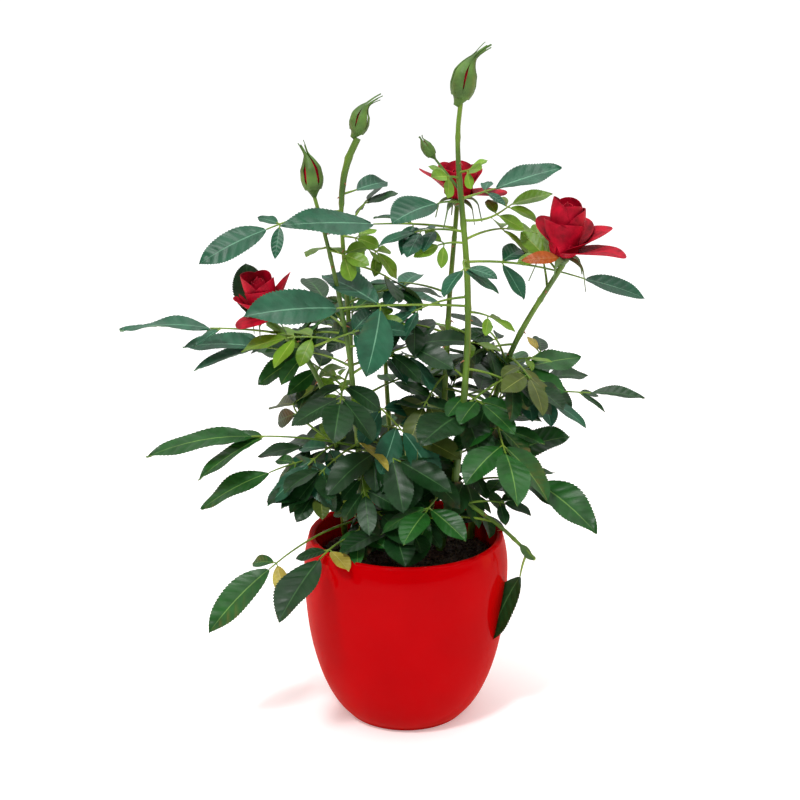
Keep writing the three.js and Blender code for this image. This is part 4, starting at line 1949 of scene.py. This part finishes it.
@dataclass(frozen=True)
class Studio:
    """A white sweep under soft light, with the camera a little above the plant, looking down at it."""

    camera_place: Triple = (-0.0039, -0.9, 0.48)
    pitch: float = 16.4068
    lens: float = 65.66
    sweep_colour: str = "fafafa"
    sky_front: float = 0.06
    sky_behind: float = 0.5
    sky_overhead: float = 0.85
    sweep_glow: float = 0.22
    sweep_span: float = 30.0
    seen_white: float = 1.1
    lit_height: float = 0.22

    def set_up(self) -> None:
        """Adds camera, floor, sky and lights."""
        scene = bpy.context.scene
        camera = bpy.data.cameras.new("studio_camera")
        camera.lens = self.lens
        camera.sensor_width = 36
        camera.clip_start, camera.clip_end = 0.01, 20
        thing = bpy.data.objects.new("studio_camera", camera)
        thing.location = self.camera_place
        thing.rotation_euler = (math.radians(90 - self.pitch), 0, 0)
        scene.collection.objects.link(thing)
        scene.camera = thing
        self.floor()
        self.sky()
        for box in SOFTBOXES:
            box.set_up(Vector((0, 0, self.lit_height)))
        scene.view_settings.view_transform = "Standard"
        scene.view_settings.look = "None"

    def floor(self) -> None:
        """Adds the pale floor, lit a little from beneath like a light table."""
        mesh = bpy.data.meshes.new("floor")
        far = self.sweep_span
        corners = [(-far, -far, 0), (far, -far, 0), (far, far, 0), (-far, far, 0)]
        mesh.from_pydata(corners, [], [(0, 1, 2, 3)])
        floor = bpy.data.objects.new("floor", mesh)
        colour = linear(self.sweep_colour)
        settings = {
            "Base Color": colour,
            "Roughness": 0.9,
            "Emission Color": colour,
            "Emission Strength": self.sweep_glow,
        }
        mesh.materials.append(Skin("matt_white_lit_sweep").finish(settings, {}))
        bpy.context.scene.collection.objects.link(floor)

    def sky(self) -> None:
        """Adds the surround: bright overhead, dim in front, and plain white where it is seen itself."""
        world = bpy.data.worlds.new("studio_surround")
        world.use_nodes = True
        tree = world.node_tree
        tree.nodes.clear()
        way = add_node(tree, "ShaderNodeTexCoord")
        parts = add_node(tree, "ShaderNodeSeparateXYZ", {}, {"Vector": way.outputs["Generated"]})
        depth = add_node(
            tree,
            "ShaderNodeMapRange",
            {"From Min": -1.0, "From Max": 0.6, "To Min": self.sky_front, "To Max": self.sky_behind},
            {"Value": parts.outputs["Y"]},
        )
        height = add_node(
            tree,
            "ShaderNodeMapRange",
            {"From Min": 0.0, "From Max": 1.0, "To Min": 0.0, "To Max": self.sky_overhead},
            {"Value": parts.outputs["Z"]},
        )
        strength = add_node(
            tree,
            "ShaderNodeMath",
            {"operation": "ADD"},
            {0: depth.outputs["Result"], 1: height.outputs["Result"]},
        )
        white = {"Color": (1, 1, 1, 1)}
        lit = add_node(tree, "ShaderNodeBackground", white, {"Strength": strength.outputs["Value"]})
        seen = add_node(tree, "ShaderNodeBackground", {**white, "Strength": self.seen_white})
        ray = add_node(tree, "ShaderNodeLightPath")
        both = add_node(
            tree,
            "ShaderNodeMixShader",
            {},
            {0: ray.outputs["Is Camera Ray"], 1: lit.outputs["Background"], 2: seen.outputs["Background"]},
        )
        add_node(tree, "ShaderNodeOutputWorld", {}, {"Surface": both.outputs["Shader"]})
        bpy.context.scene.world = world


# ---------------------------------------------------------------- the whole plant


RIGHT_GUARDS = (
    Guard(-5, 44, -8, 34, 42, 0.0),
    Guard(-70, 36, -14, 36, 40, 0.0),
    Guard(180, 38, -14, 40, 38, 0.0),
    Guard(80, 38, -10, 37, 38),
    Guard(-150, 48, 8, 29, 42, 0.0),
    Guard(-95, 44, 8, 27, 46, 0.0),
    Guard(8, 46, 60, 32, 36, 0.06),
    Guard(-38, 58, 88, 38, 34, 0.15),
    Guard(60, 42, 56, 31, 34),
    Guard(130, 40, 46, 29, 34),
)
MIDDLE_GUARDS = (
    Guard(-162, 46, 56, 28, 32, 0.15),
    Guard(-22, 56, 90, 31, 28, 0.04),
    Guard(-92, 38, 8, 21, 38, 0.0),
    Guard(-145, 40, 16, 23, 34),
    Guard(-42, 40, 14, 22, 34),
    Guard(35, 42, 24, 24, 34),
    Guard(90, 36, 16, 24, 36),
    Guard(140, 40, 24, 24, 34),
)
LEFT_GUARDS = (
    Guard(-30, 42, 2, 26, 36),
    Guard(165, 38, -8, 31, 36, 0.0),
    Guard(70, 38, -4, 28, 36),
    Guard(2, 48, 30, 29, 26, 0.08),
    Guard(-100, 44, 10, 22, 42, 0.0),
    Guard(-165, 52, 36, 23, 34, 0.0),
    Guard(-128, 70, 100, 22, 34, 0.02),
    Guard(110, 44, 40, 27, 34),
)


def flowers(canes: Canes) -> None:
    """Builds the three blooms and the four buds.

    Args:
        canes: the canes that they stand on.
    """
    crimson = PetalVelvet("crimson_petal_velvet", "b00022", "6c0012").material()
    back = PetalVelvet("crimson_petal_back", "b60426", "7c0016", sheen=0.1).material()
    sepal_skin = LeafSkin("green_sepal_skin", "5c7448", roughness=0.55, mottle=0.3).material()
    bud_skin = LeafSkin("green_bud_skin", "4c6c2c", roughness=0.5, mottle=0.35).material()
    blooms = (
        ("right", Bloom("right", 11, np.array([0.04, -0.1, 1.0]), 7, 36 * MM, 26 * MM, RIGHT_GUARDS)),
        ("middle", Bloom("middle", 12, np.array([0.06, -0.1, 1.0]), 7, 21 * MM, 20 * MM, MIDDLE_GUARDS)),
        ("side", Bloom("left", 13, np.array([-0.22, -0.12, 1.0]), 6, 26 * MM, 22 * MM, LEFT_GUARDS, 16 * MM)),
    )
    for cane, bloom in blooms:
        bloom.dress(canes.spines[cane].path[-1], [crimson, back], sepal_skin)
    for bud in (Bud("top", 1), Bud("left", 2), Bud("front", 3, 0.12, 1.5), Bud("small", 4, 0.0, 2.0, 0.56)):
        bud.dress(crimson, bud_skin)


def main() -> None:
    """Builds the studio and the plant, piece by piece."""
    logging.basicConfig(level=logging.INFO, format="%(name)s: %(message)s")
    Studio().set_up()
    GlazedPot().dress()
    CompostBed(seed=5).dress()
    canes = Canes(seed=3)
    canes.dress()
    foliage = Foliage(seed=21)
    limbs = canes.limbs()
    for group, plans in SPRAYS.items():
        for number, plan in enumerate(plans, start=1):
            foliage.cover(f"leaves_{group}_{number}", plan, limbs)
    foliage.withered(canes.spines["right"].path[-1])
    for name, share, reach in SPRIGS:
        start = canes.spines[name].at(share)
        foliage.sprig(start, start + np.array(reach) * MM)
    growth = InnerGrowth(foliage, canes)
    log.info("inner leaves: %d, new leaves: %d", growth.grow(), growth.sprout())
    hearts = [node for node in sorted(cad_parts) if node.startswith("heart_")]
    foliage.stands_for[YOUNG] += hearts
    foliage.dress()
    flowers(canes)


if __name__ == "__main__":
    main()
